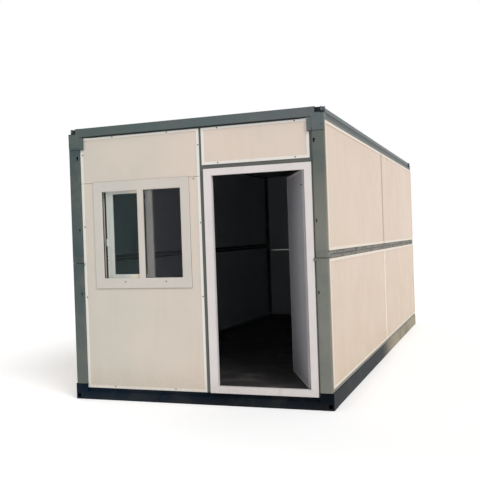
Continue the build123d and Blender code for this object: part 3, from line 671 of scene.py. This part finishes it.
# Boards laid across the house, with a thin dark joint between them: width and shift are in metres,
# jointReach is in board widths from the middle of a board
floorBoards = {
    "main": shade(47, 46, 47), "second": shade(58, 55, 54), "dust": shade(96, 91, 86),
    "joint": shade(30, 28, 28), "width": 1.22, "shift": 5.49, "jointReach": (0.497, 0.499),
    "fibre": {"scale": 26.0, "limits": (0.35, 0.7), "stretch": (0.12, 1, 1)},
    "dirt": {"scale": 3.0, "limits": (0.45, 0.7)}, "dirtShare": 0.5,
    "rough": (0.5, 0.8), "bump": {"strength": 0.3, "distance": 0.0008},
}


def makeFloorBoards(look):
    material, tree, shader = newMaterial("floorBoards")
    shifted = math2(tree, "ADD", separatePlace(tree)["Y"], look["shift"])
    run = math2(tree, "FRACT", math2(tree, "DIVIDE", shifted, look["width"]), 0.0)
    joint = ramp(tree, apart(tree, run, 0.5), look["jointReach"])
    fibre = patchMask(tree, **look["fibre"])
    tone = over(tree, fibre, look["main"], look["second"])
    dirt = times(tree, patchMask(tree, **look["dirt"]), look["dirtShare"])
    fill(tree, shader, {
        "Base Color": over(tree, joint, over(tree, dirt, tone, look["dust"]), look["joint"]),
        "Roughness": ramp(tree, dirt, (0.0, look["dirtShare"]), *look["rough"]),
        "Normal": bumped(tree, math2(tree, "SUBTRACT", fibre, joint), **look["bump"]),
    })
    return material


roofMetal = {
    "main": shade(150, 154, 152), "second": shade(168, 168, 162), "dust": shade(150, 142, 124),
    "rust": shade(124, 86, 60), "metallic": 0.25,
    "cloud": {"scale": 2.0, "limits": (0.35, 0.7)},
    "dirt": {"scale": 4.0, "limits": (0.42, 0.7), "offset": 4.0}, "dirtShare": 0.55,
    "rustSpots": {"scale": 13.0, "limits": (0.66, 0.76), "offset": 9.0}, "rustShare": 0.6,
    "rough": (0.36, 0.7),
    "grain": {"scale": 120.0, "depth": 0.4}, "bump": {"strength": 0.25, "distance": 0.0008},
}


def makeRoofMetal(look):
    material, tree, shader = newMaterial("roofMetal")
    tone = over(tree, patchMask(tree, **look["cloud"]), look["main"], look["second"])
    dirt = times(tree, patchMask(tree, **look["dirt"]), look["dirtShare"])
    dusty = over(tree, dirt, tone, look["dust"])
    rust = times(tree, patchMask(tree, **look["rustSpots"]), look["rustShare"])
    fill(tree, shader, {
        "Base Color": over(tree, rust, dusty, look["rust"]),
        "Roughness": ramp(tree, dirt, (0.0, look["dirtShare"]), *look["rough"]),
        "Metallic": look["metallic"],
        "Normal": bumped(tree, grainHeight(tree, **look["grain"]), **look["bump"]),
    })
    return material


ceilingLook = {
    "main": shade(190, 194, 198), "second": shade(176, 180, 184), "roughness": 0.7,
    "cloud": {"scale": 1.8, "limits": (0.3, 0.7)},
    "grain": {"scale": 220.0, "depth": 0.4}, "bump": {"strength": 0.3, "distance": 0.0008},
}


def makeCeiling(look):
    material, tree, shader = newMaterial("ceiling")
    fill(tree, shader, {
        "Base Color": over(tree, patchMask(tree, **look["cloud"]), look["main"], look["second"]),
        "Roughness": look["roughness"],
        "Normal": bumped(tree, grainHeight(tree, **look["grain"]), **look["bump"]),
    })
    return material


bareMetal = {
    "zinc": {
        "main": shade(150, 150, 146), "second": shade(112, 108, 102), "rust": shade(110, 78, 56),
        "metallic": (0.85, 0.1), "rustAmount": 0.5,
    },
    "screw": {
        "main": shade(84, 82, 80), "second": shade(60, 58, 56), "rust": shade(96, 68, 50),
        "metallic": (0.6, 0.1), "rustAmount": 0.4,
    },
}
metalSurface = {
    "cloud": {"scale": 30.0, "limits": (0.35, 0.7)},
    "rustSpots": {"scale": 48.0, "limits": (0.52, 0.7), "offset": 2.2}, "fullRust": 0.5,
    "rough": (0.34, 0.8),
    "grain": {"scale": 700.0, "depth": 0.4}, "bump": {"strength": 0.3, "distance": 0.0004},
}


def makeBareMetal(name, look):
    material, tree, shader = newMaterial(name)
    tone = over(tree, patchMask(tree, **metalSurface["cloud"]), look["main"], look["second"])
    rust = times(tree, patchMask(tree, **metalSurface["rustSpots"]), look["rustAmount"])
    rusting = (0.0, metalSurface["fullRust"])
    relief = grainHeight(tree, **metalSurface["grain"])
    fill(tree, shader, {
        "Base Color": over(tree, rust, tone, look["rust"]),
        "Metallic": ramp(tree, rust, rusting, *look["metallic"]),
        "Roughness": ramp(tree, rust, rusting, *metalSurface["rough"]),
        "Normal": bumped(tree, relief, **metalSurface["bump"]),
    })
    return material


sealLook = {
    "sealant": {"main": shade(206, 203, 194), "second": shade(180, 174, 160), "roughness": 0.5},
    "rubber": {"main": shade(34, 36, 38), "second": shade(58, 58, 56), "roughness": 0.62},
}
sealSurface = {
    "cloud": {"scale": 22.0, "limits": (0.38, 0.68)},
    "grain": {"scale": 340.0, "depth": 0.5}, "bump": {"strength": 0.35, "distance": 0.0005},
}


def makeSeal(name, look):
    material, tree, shader = newMaterial(name)
    relief = grainHeight(tree, **sealSurface["grain"])
    fill(tree, shader, {
        "Base Color": over(tree, patchMask(tree, **sealSurface["cloud"]), look["main"], look["second"]),
        "Roughness": look["roughness"],
        "Normal": bumped(tree, relief, **sealSurface["bump"]),
    })
    return material


steels = {name: makeSteelPaint(name + "Steel", look) for name, look in steelPaint.items()}
frontPanel = makePanel("frontPanel", panelFaces["end"], -1.0, endSkin)
rearPanel = makePanel("rearPanel", panelFaces["end"], 1.0, endSkin)
rightPanel = makePanel("rightPanel", panelFaces["side"], 1.0, sideSkin)
leftPanel = makePanel("leftPanel", panelFaces["side"], -1.0, sideSkin)
doorFrameWhite = makeWhiteProfile("doorFrameWhite", whiteProfile["doorFrame"])
doorEdgeWhite = makeWhiteProfile("doorEdgeWhite", whiteProfile["doorEdge"])
windowWhite = makeWhiteProfile("windowWhite", whiteProfile["window"])
sashWhite = makeWhiteProfile("sashWhite", whiteProfile["sash"])
leafMaterial = makeLeafSkin(shadedLeafSkin)
sashGlass = makeGlass("sashGlass", glassLook["sash"])
fixedGlass = makeGlass("fixedGlass", glassLook["fixed"])
boards = makeFloorBoards(floorBoards)
roofMaterial = makeRoofMetal(roofMetal)
ceilingMaterial = makeCeiling(ceilingLook)
zinc = makeBareMetal("zinc", bareMetal["zinc"])
screwMetal = makeBareMetal("screwMetal", bareMetal["screw"])
sealant = makeSeal("sealant", sealLook["sealant"])
rubber = makeSeal("rubber", sealLook["rubber"])
print("stage 3: materials made")

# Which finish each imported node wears
finishes = {
    "floor_front_beam": steels["base"],
    "floor_rear_beam": steels["base"],
    "floor_left_beam": steels["base"],
    "floor_right_beam": steels["base"],
    "floor_corners": steels["base"],
    "floor_joists": steels["inner"],
    "floor_deck": boards,
    "roof_front_beam": steels["roof"],
    "roof_rear_beam": steels["roof"],
    "roof_left_beam": steels["roof"],
    "roof_right_beam": steels["roof"],
    "roof_corners": steels["roof"],
    "roof_purlins": steels["inner"],
    "roof_sheet": roofMaterial,
    "ceiling_lining": ceilingMaterial,
    "right_lower_wall_frame": steels["rails"],
    "right_upper_wall_frame": steels["rails"],
    "left_lower_wall_frame": steels["rails"],
    "left_upper_wall_frame": steels["rails"],
    "right_lower_wall_panels": rightPanel,
    "right_upper_wall_panels": rightPanel,
    "left_lower_wall_panels": leftPanel,
    "left_upper_wall_panels": leftPanel,
    "right_fold_hinges": steels["rails"],
    "left_fold_hinges": steels["rails"],
    "front_wall_frame": steels["frame"],
    "rear_wall_frame": steels["frame"],
    "window_bay_panel": frontPanel,
    "window_bay_top_panel": frontPanel,
    "transom_panel": frontPanel,
    "rear_lower_panel": rearPanel,
    "rear_upper_panel": rearPanel,
    "window_frame": windowWhite,
    "window_fixed_glass": fixedGlass,
    "window_sash": sashWhite,
    "window_sash_glass": sashGlass,
    "window_latch": sashWhite,
    "door_hinge_jamb": doorFrameWhite,
    "door_lock_jamb": doorFrameWhite,
    "door_head": doorFrameWhite,
    "door_threshold": doorFrameWhite,
    "door_leaf": leafMaterial,
    "door_edge": doorEdgeWhite,
    "door_hinges": zinc,
}
for name, material in finishes.items():
    slots = nodes[name].material_slots
    if slots:
        for materialSlot in slots:
            materialSlot.material = material
    else:
        nodes[name].data.materials.append(material)


# A new piece: its mesh, its finish and the body it rides on; the slot name is not used
def addPiece(name, points, faces, material, body, slotName):
    mesh = bpy.data.meshes.new(name)
    mesh.from_pydata(points.tolist(), [], faces.tolist())
    mesh.polygons.foreach_set("use_smooth", np.full(len(mesh.polygons), True))
    mesh.materials.append(material)
    mesh.update()
    piece = bpy.data.objects.new(name, mesh)
    scene.collection.objects.link(piece)
    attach(piece, body)


# Quads of a grid of rows by columns, closed round the columns, and along the rows too for a ring
def tubeFaces(rows, columns, ring=False):
    row, column = np.meshgrid(np.arange(rows if ring else rows - 1), np.arange(columns), indexing="ij")
    nextRow = (row + 1) % rows
    nextColumn = (column + 1) % columns
    first = row * columns
    second = nextRow * columns
    quads = np.stack([first + column, first + nextColumn, second + nextColumn, second + column], axis=-1)
    return quads.reshape(-1, 4)


# How finely cords and beads are drawn; tip is what is left of a bead's radius at its ends
cordDetail = {"sides": 10, "stepsPerSwell": 6, "leastSteps": 8, "cornerSteps": 5, "tip": 0.03}


# Round cord along a path: at each point a circle across the path, of the radius given for it
def cordShape(path, normal, radius, ring=False):
    if ring:
        along = np.roll(path, -1, axis=0) - np.roll(path, 1, axis=0)
    else:
        along = np.gradient(path, axis=0)
    along /= np.linalg.norm(along, axis=1, keepdims=True)
    side = np.cross(np.array(normal, float), along)
    up = np.cross(along, side)
    turn = np.linspace(0, 2 * np.pi, cordDetail["sides"], endpoint=False)[None, :, None]
    circle = np.cos(turn) * side[:, None] + np.sin(turn) * up[:, None]
    points = path[:, None] + np.broadcast_to(radius, len(path))[:, None, None] * circle
    return points.reshape(-1, 3), tubeFaces(len(path), cordDetail["sides"], ring)


# Rectangle with round corners on a wall at one depth: four arcs of the corner's radius
def wallRectangle(left, right, low, high, depth, corner):
    angle = (np.arange(4)[:, None] + np.linspace(0, 1, cordDetail["cornerSteps"])) * np.pi / 2
    middleX = np.array([right - corner, left + corner, left + corner, right - corner])[:, None]
    middleZ = np.array([high - corner, high - corner, low + corner, low + corner])[:, None]
    across = middleX + corner * np.cos(angle)
    level = middleZ + corner * np.sin(angle)
    return np.stack([across, np.full(angle.shape, depth), level], axis=-1).reshape(-1, 3)


# Straight bead between two points: its radius swells with a cosine of the way along, and its ends close
def beadShape(start, end, normal, look):
    start = np.array(start, float)
    reach = np.array(end, float) - start
    length = np.linalg.norm(reach)
    steps = int(length / look["pitch"] * cordDetail["stepsPerSwell"])
    way = np.linspace(0, 1, max(cordDetail["leastSteps"], steps))
    wave = np.cos(2 * np.pi * way * length / look["pitch"])
    girth = look["radius"] * (1 - look["swell"] + look["swell"] * wave)
    girth[[0, -1]] = look["radius"] * cordDetail["tip"]
    return cordShape(start + way[:, None] * reach, normal, girth)


# One shape out of several
def joined(shapes):
    starts = np.cumsum([0] + [len(points) for points, _ in shapes[:-1]])
    points = np.concatenate([points for points, _ in shapes])
    faces = np.concatenate([faces + start for (_, faces), start in zip(shapes, starts)])
    return points, faces


probe = 4.0  # metres from the middle, where a line that looks for a surface starts


# Nearest point of some nodes on a line that comes from outside
def onSurface(names, origin, direction):
    start = Vector(origin)
    hits = [nodes[name].ray_cast(start, Vector(direction)) for name in names]
    spots = [spot for found, spot, _, _ in hits if found]
    return min(spots, key=lambda spot: (spot - start).length)


screwHead = {"radius": 0.0062, "height": 0.0026, "recess": 0.0014, "sides": 14}

# Profile of a head up to the rim of its recess, in shares of radius and height, and the recess's floor
headProfile = [(1.0, -0.2), (1.0, 0.25), (0.86, 0.7), (0.6, 0.95), (0.34, 1.0)]
recessFloor = (0.24, 0.02)


# Head of a screw: a profile turned round the axis, rising along +Z, closed by its small middle ring
def headShape(look):
    bottom = 1.0 - look["recess"] / look["height"]
    profile = np.array(headProfile + [(reach, bottom) for reach in recessFloor])
    turn = np.linspace(0, 2 * np.pi, look["sides"], endpoint=False)
    radius = profile[:, :1] * look["radius"]
    level = np.broadcast_to(profile[:, 1:] * look["height"], (len(profile), look["sides"]))
    points = np.stack([radius * np.cos(turn), radius * np.sin(turn), level], axis=-1)
    return points.reshape(-1, 3), tubeFaces(len(profile), look["sides"])


# Turns a shape made along +Z to face a given way, and repeats it at each place
def repeated(points, faces, places, facing):
    forward = np.array(facing, float)
    helper = np.array((0.0, 0.0, 1.0)) if abs(forward[2]) < 0.9 else np.array((0.0, 1.0, 0.0))
    side = np.cross(helper, forward)
    side /= np.linalg.norm(side)
    axes = np.stack([side, np.cross(forward, side), forward])
    allPoints = (points @ axes)[None] + np.array(places, float)[:, None]
    allFaces = faces[None] + (np.arange(len(places)) * len(points))[:, None, None]
    return allPoints.reshape(-1, 3), allFaces.reshape(-1, faces.shape[1])


def addScrews(name, places, facing, body, material=screwMetal, look=screwHead):
    addPiece(name, *repeated(*headShape(look), places, facing), material, body, "hinge_steel")


# Places of the screws on the front wall, as seen on it: (across, up) in metres
frontScrews = {
    "bay": [
        (-0.781, 2.457), (-0.221, 2.457), (-1.105, 2.31), (-1.105, 1.63), (-1.105, 0.965),
        (0.085, 2.32), (0.085, 1.625), (0.085, 0.966), (-0.834, 0.126), (-0.214, 0.126),
    ],
    "transom": [(0.27, 2.457), (0.98, 2.457), (0.27, 2.150), (0.98, 2.150)],
    "besideWindow": [(0.029, 2.022)],
    "window": [(-0.687, 1.106), (-0.271, 1.106)],
}
frontNodes = ["window_bay_panel", "window_bay_top_panel", "transom_panel", "window_frame"]
rearNodes = ["rear_lower_panel", "rear_upper_panel"]


def makeFrontScrews():
    groups = {
        "front_panel_screws": frontScrews["bay"] + frontScrews["transom"] + frontScrews["besideWindow"],
        "window_frame_screws": frontScrews["window"],
    }
    for name, places in groups.items():
        spots = [onSurface(frontNodes, (x, -probe, z), (0, 1, 0)) for x, z in places]
        addScrews(name, spots, (0, -1, 0), "house")


# The rear wall's panels are fixed like the front's, in the trim round each panel
rearScrews = {
    "across": (-0.84, -0.28, 0.28, 0.84), "rows": (2.457, 1.262, 1.218, 0.126),
    "edge": 1.105, "edgeRows": (2.31, 1.84, 1.50, 0.96, 0.50),
}


def makeRearScrews():
    places = [(x, z) for x in rearScrews["across"] for z in rearScrews["rows"]]
    places += [(side * rearScrews["edge"], z) for side in (-1, 1) for z in rearScrews["edgeRows"]]
    spots = [onSurface(rearNodes, (x, probe, z), (0, -1, 0)) for x, z in places]
    addScrews("rear_panel_screws", spots, (0, 1, 0), "house")


# One screw in each flat of the ribbed sheet over each purlin
roofScrews = {
    "flats": 10, "pitch": 0.2, "purlins": 9, "endInset": 0.025,
    "head": {"radius": 0.009, "height": 0.0035, "recess": 0.001, "sides": 12},
}


def makeRoofScrews():
    low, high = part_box("roof_purlins")
    inset = roofScrews["endInset"]
    across = (np.arange(roofScrews["flats"]) - (roofScrews["flats"] - 1) / 2) * roofScrews["pitch"]
    along = np.linspace(low.y + inset, high.y - inset, roofScrews["purlins"])
    spots = [onSurface(["roof_sheet"], (x, y, probe), (0, 0, -1)) for x in across for y in along]
    addScrews("roof_screws", spots, (0, 0, 1), "house", zinc, roofScrews["head"])


# Bolts in the bolt holes of the roof legs, measured from the outer, top and end faces of the corners
legBolts = {
    "inset": 0.022, "drop": 0.152, "depth": 0.004,
    "head": {"radius": 0.0056, "height": 0.003, "recess": 0.002, "sides": 18},
}


def makeLegBolts():
    low, high = roofCorners
    across = high.x - legBolts["inset"]
    for name, turn, face in (("front_leg_bolts", -1, low.y), ("rear_leg_bolts", 1, high.y)):
        depth = face - turn * legBolts["depth"]
        places = [(side * across, depth, roofTop - legBolts["drop"]) for side in (-1, 1)]
        addScrews(name, places, (0, turn, 0), "house", screwMetal, legBolts["head"])


# A small dark stud near the top of the door leaf, at its place on the leaf as it stands open at rest
leafStud = {
    "place": (1.0058, -2.8647, 1.915),
    "openAngle": 65.0,
    "probe": 0.1,
    "head": {"radius": 0.006, "height": 0.015, "recess": 0.003, "sides": 14},
}


def makeLeafStud():
    angle = math.radians(leafStud["openAngle"])
    facing = Vector((-math.sin(angle), -math.cos(angle), 0))
    start = Vector(leafStud["place"]) + facing * leafStud["probe"]
    spot = onSurface(["door_leaf", "door_edge"], start, -facing)
    addScrews("leaf_stud", [spot], facing, "door", screwMetal, leafStud["head"])


makeFrontScrews()
makeRearScrews()
makeRoofScrews()
makeLegBolts()
makeLeafStud()
print("stage 4: screws made")

# Rubber round the window's flange and along the edges of both panes: radii of the cords and their
# corners, the spot beside the frame that gives the skin's level, and each cord's inset from its glass
windowSeals = {
    "flange": 0.0018, "pane": 0.003, "corner": 0.004, "besideFrame": 0.03, "level": 1.5,
    "panes": {
        "fixed_pane_seal": {"glass": "window_fixed_glass", "inset": 0.010},
        "sash_pane_seal": {"glass": "window_sash_glass", "inset": 0.0},
    },
}


# Closed cord along a rectangle with round corners, set in from the edges of a box
def ringShape(low, high, inset, depth, radius):
    corner = windowSeals["corner"]
    path = wallRectangle(low.x + inset, high.x - inset, low.z + inset, high.z - inset, depth, corner)
    return cordShape(path, (0, 1, 0), radius, ring=True)


def makeWindowSeals():
    low, high = windowFrame
    beside = (low.x - windowSeals["besideFrame"], -probe, windowSeals["level"])
    skinFace = onSurface(["window_bay_panel"], beside, (0, 1, 0)).y
    flange = ringShape(low, high, 0.0, skinFace, windowSeals["flange"])
    addPiece("window_flange_seal", *flange, rubber, "house", "window_white")
    for name, look in windowSeals["panes"].items():
        paneLow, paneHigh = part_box(look["glass"])
        rings = [
            ringShape(paneLow, paneHigh, look["inset"], depth, windowSeals["pane"])
            for depth in (paneLow.y, paneHigh.y)
        ]
        addPiece(name, *joined(rings), rubber, "house", "window_white")


# Sealant along the sides and the head of the door frame
doorSealant = {"radius": 0.0025, "pitch": 0.11, "swell": 0.12}


def makeDoorFrameSealant():
    low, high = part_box("door_lock_jamb")[0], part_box("door_hinge_jamb")[1]
    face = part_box("front_wall_frame")[0].y
    corners = [(low.x, face, low.z), (low.x, face, high.z), (high.x, face, high.z), (high.x, face, low.z)]
    beads = [beadShape(start, end, (0, 1, 0), doorSealant) for start, end in zip(corners, corners[1:])]
    addPiece("door_frame_sealant", *joined(beads), sealant, "house", "door_frame_white")


# The seam between two side panels: dark cord in the upper half, pale sealant in the lower one
sideSeams = {"radius": 0.0019, "pitch": 0.09, "swell": 0.1, "depth": 0.0022, "endInset": 0.004}


def makeSideSeams():
    for label, material in (("upper", rubber), ("lower", sealant)):
        low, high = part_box(f"right_{label}_wall_panels")
        depth = high.x - sideSeams["depth"]
        start, stop = low.z + sideSeams["endInset"], high.z - sideSeams["endInset"]
        beads = [
            beadShape((side * depth, 0, start), (side * depth, 0, stop), (1, 0, 0), sideSeams)
            for side in (-1, 1)
        ]
        addPiece(f"{label}_side_seams", *joined(beads), material, "house", "wall_panel")


# Dark sealing cords between the roof and the side and end walls, which also put painted shade in the gap
# under the roof beams, and along the fold between its hinges:
# lift is above the side beam's underside, past is beyond the transom panel, clear is from a hinge's middle
gapCords = {
    "side": {"radius": 0.0075, "pitch": 0.6, "swell": 0.05, "lift": 0.00525, "endInset": 0.08},
    "end": {"radius": 0.0065, "pitch": 0.6, "swell": 0.05, "past": 0.010},
    "fold": {
        "radius": 0.004, "pitch": 0.4, "swell": 0.08, "endInset": 0.03, "hingeHalf": 0.06, "clear": 0.07,
    },
}


def makeRoofGapSealsAndShade():
    side, end = gapCords["side"], gapCords["end"]
    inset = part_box("right_upper_wall_frame")[1].x - side["radius"]
    level = sideBeam[0].z + side["lift"]
    stop = halfLength - side["endInset"]
    sideBeads = [
        beadShape((turn * inset, -stop, level), (turn * inset, stop, level), (0, 0, 1), side)
        for turn in (-1, 1)
    ]
    across = endPanel[1].x + end["past"]
    face, top = endPanel[0].y, endPanel[1].z
    endBeads = [
        beadShape((-across, -turn * face, top), (across, -turn * face, top), (0, 1, 0), end)
        for turn in (-1, 1)
    ]
    addPiece("roof_gap_seal_shade_cords", *joined(sideBeads + endBeads), rubber, "house", "painted_steel")


def makeFoldSeals():
    look = gapCords["fold"]
    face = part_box("right_upper_wall_frame")[1].x
    hinges = np.array((-1, 0, 1)) * (foldHinges[1].y - look["hingeHalf"])
    stop = halfLength - look["endInset"]
    starts = np.concatenate([[-stop], hinges + look["clear"]])
    stops = np.concatenate([hinges - look["clear"], [stop]])
    beads = [
        beadShape((turn * face, first, foldLevel), (turn * face, last, foldLevel), (1, 0, 0), look)
        for turn in (-1, 1)
        for first, last in zip(starts, stops)
    ]
    addPiece("fold_seals", *joined(beads), rubber, "house", "painted_steel")


# Weld beads where the roof's side beams meet the corner fittings
weldBead = {"radius": 0.0035, "pitch": 0.006, "swell": 0.2, "endInset": 0.004}


def makeWelds():
    low, high = sideBeam
    start, stop = low.z + weldBead["endInset"], high.z - weldBead["endInset"]
    beads = [
        beadShape(
            (side * high.x, end * high.y, start),
            (side * high.x, end * high.y, stop),
            (side, 0, 0),
            weldBead,
        )
        for side in (-1, 1)
        for end in (-1, 1)
    ]
    addPiece("roof_corner_welds", *joined(beads), steels["roof"], "house", "painted_steel")


makeWindowSeals()
makeDoorFrameSealant()
makeSideSeams()
makeRoofGapSealsAndShade()
makeFoldSeals()
makeWelds()
print("stage 5: seals and welds made")

# Pale floor, a little brighter to the camera, in mirrors and through glass, so that it meets the backdrop
floorLook = {"size": 60.0, "colour": (0.86, 0.86, 0.86, 1.0), "roughness": 0.9, "shine": 0.0, "seen": 0.22}


# 1 for rays that show a thing to the camera, 0 for rays that only light the house
def seenBySight(tree):
    rays = put(tree, "ShaderNodeLightPath", {}).outputs
    through = math2(tree, "MAXIMUM", rays["Is Glossy Ray"], rays["Is Transmission Ray"])
    return math2(tree, "MAXIMUM", rays["Is Camera Ray"], through)


def makeFloor():
    half = floorLook["size"] / 2
    mesh = bpy.data.meshes.new("floor")
    corners = [(-half, -half, 0), (half, -half, 0), (half, half, 0), (-half, half, 0)]
    mesh.from_pydata(corners, [], [(0, 1, 2, 3)])
    floor = bpy.data.objects.new("floor", mesh)
    scene.collection.objects.link(floor)
    material, tree, shader = newMaterial("studioFloor")
    fill(tree, shader, {
        "Base Color": floorLook["colour"],
        "Roughness": floorLook["roughness"],
        "Specular IOR Level": floorLook["shine"],
    })
    glow = put(tree, "ShaderNodeEmission", {"Color": (1, 1, 1, 1), "Strength": floorLook["seen"]})
    both = put(tree, "ShaderNodeAddShader", {0: shader.outputs[0], 1: glow.outputs[0]})
    choice = {0: seenBySight(tree), 1: shader.outputs[0], 2: both.outputs[0]}
    chosen = put(tree, "ShaderNodeMixShader", choice)
    output = next(node for node in tree.nodes if node.type == "OUTPUT_MATERIAL")
    tree.links.new(chosen.outputs[0], output.inputs["Surface"])
    mesh.materials.append(material)


# Soft studio light: an even fill, a key lamp from the front right and a weaker one from behind
studioLight = {
    "fill": 0.50,
    "key": {"power": 1.9, "from": (0.58, -0.44, 0.69), "softness": 30.0},
    "back": {"power": 0.65, "from": (-0.65, 0.55, 0.52), "softness": 40.0},
}


def makeWorld():
    world = bpy.data.worlds.new("studio")
    world.use_nodes = True
    tree = world.node_tree
    tree.nodes.clear()
    dim = put(tree, "ShaderNodeBackground", {"Color": (1, 1, 1, 1), "Strength": studioLight["fill"]})
    white = put(tree, "ShaderNodeBackground", {"Color": (1, 1, 1, 1), "Strength": 1.0})
    mixed = put(tree, "ShaderNodeMixShader", {0: seenBySight(tree), 1: dim.outputs[0], 2: white.outputs[0]})
    put(tree, "ShaderNodeOutputWorld", {"Surface": mixed.outputs[0]})
    scene.world = world


def makeLamp(name, look):
    data = bpy.data.lights.new(name, "SUN")
    data.energy = look["power"]
    data.angle = math.radians(look["softness"])
    lamp = bpy.data.objects.new(name, data)
    lamp.rotation_mode = "QUATERNION"
    lamp.rotation_quaternion = Vector(look["from"]).to_track_quat("Z", "Y")
    scene.collection.objects.link(lamp)


makeFloor()
makeWorld()
makeLamp("key", studioLight["key"])
makeLamp("back", studioLight["back"])
print("stage 6: floor and light made")
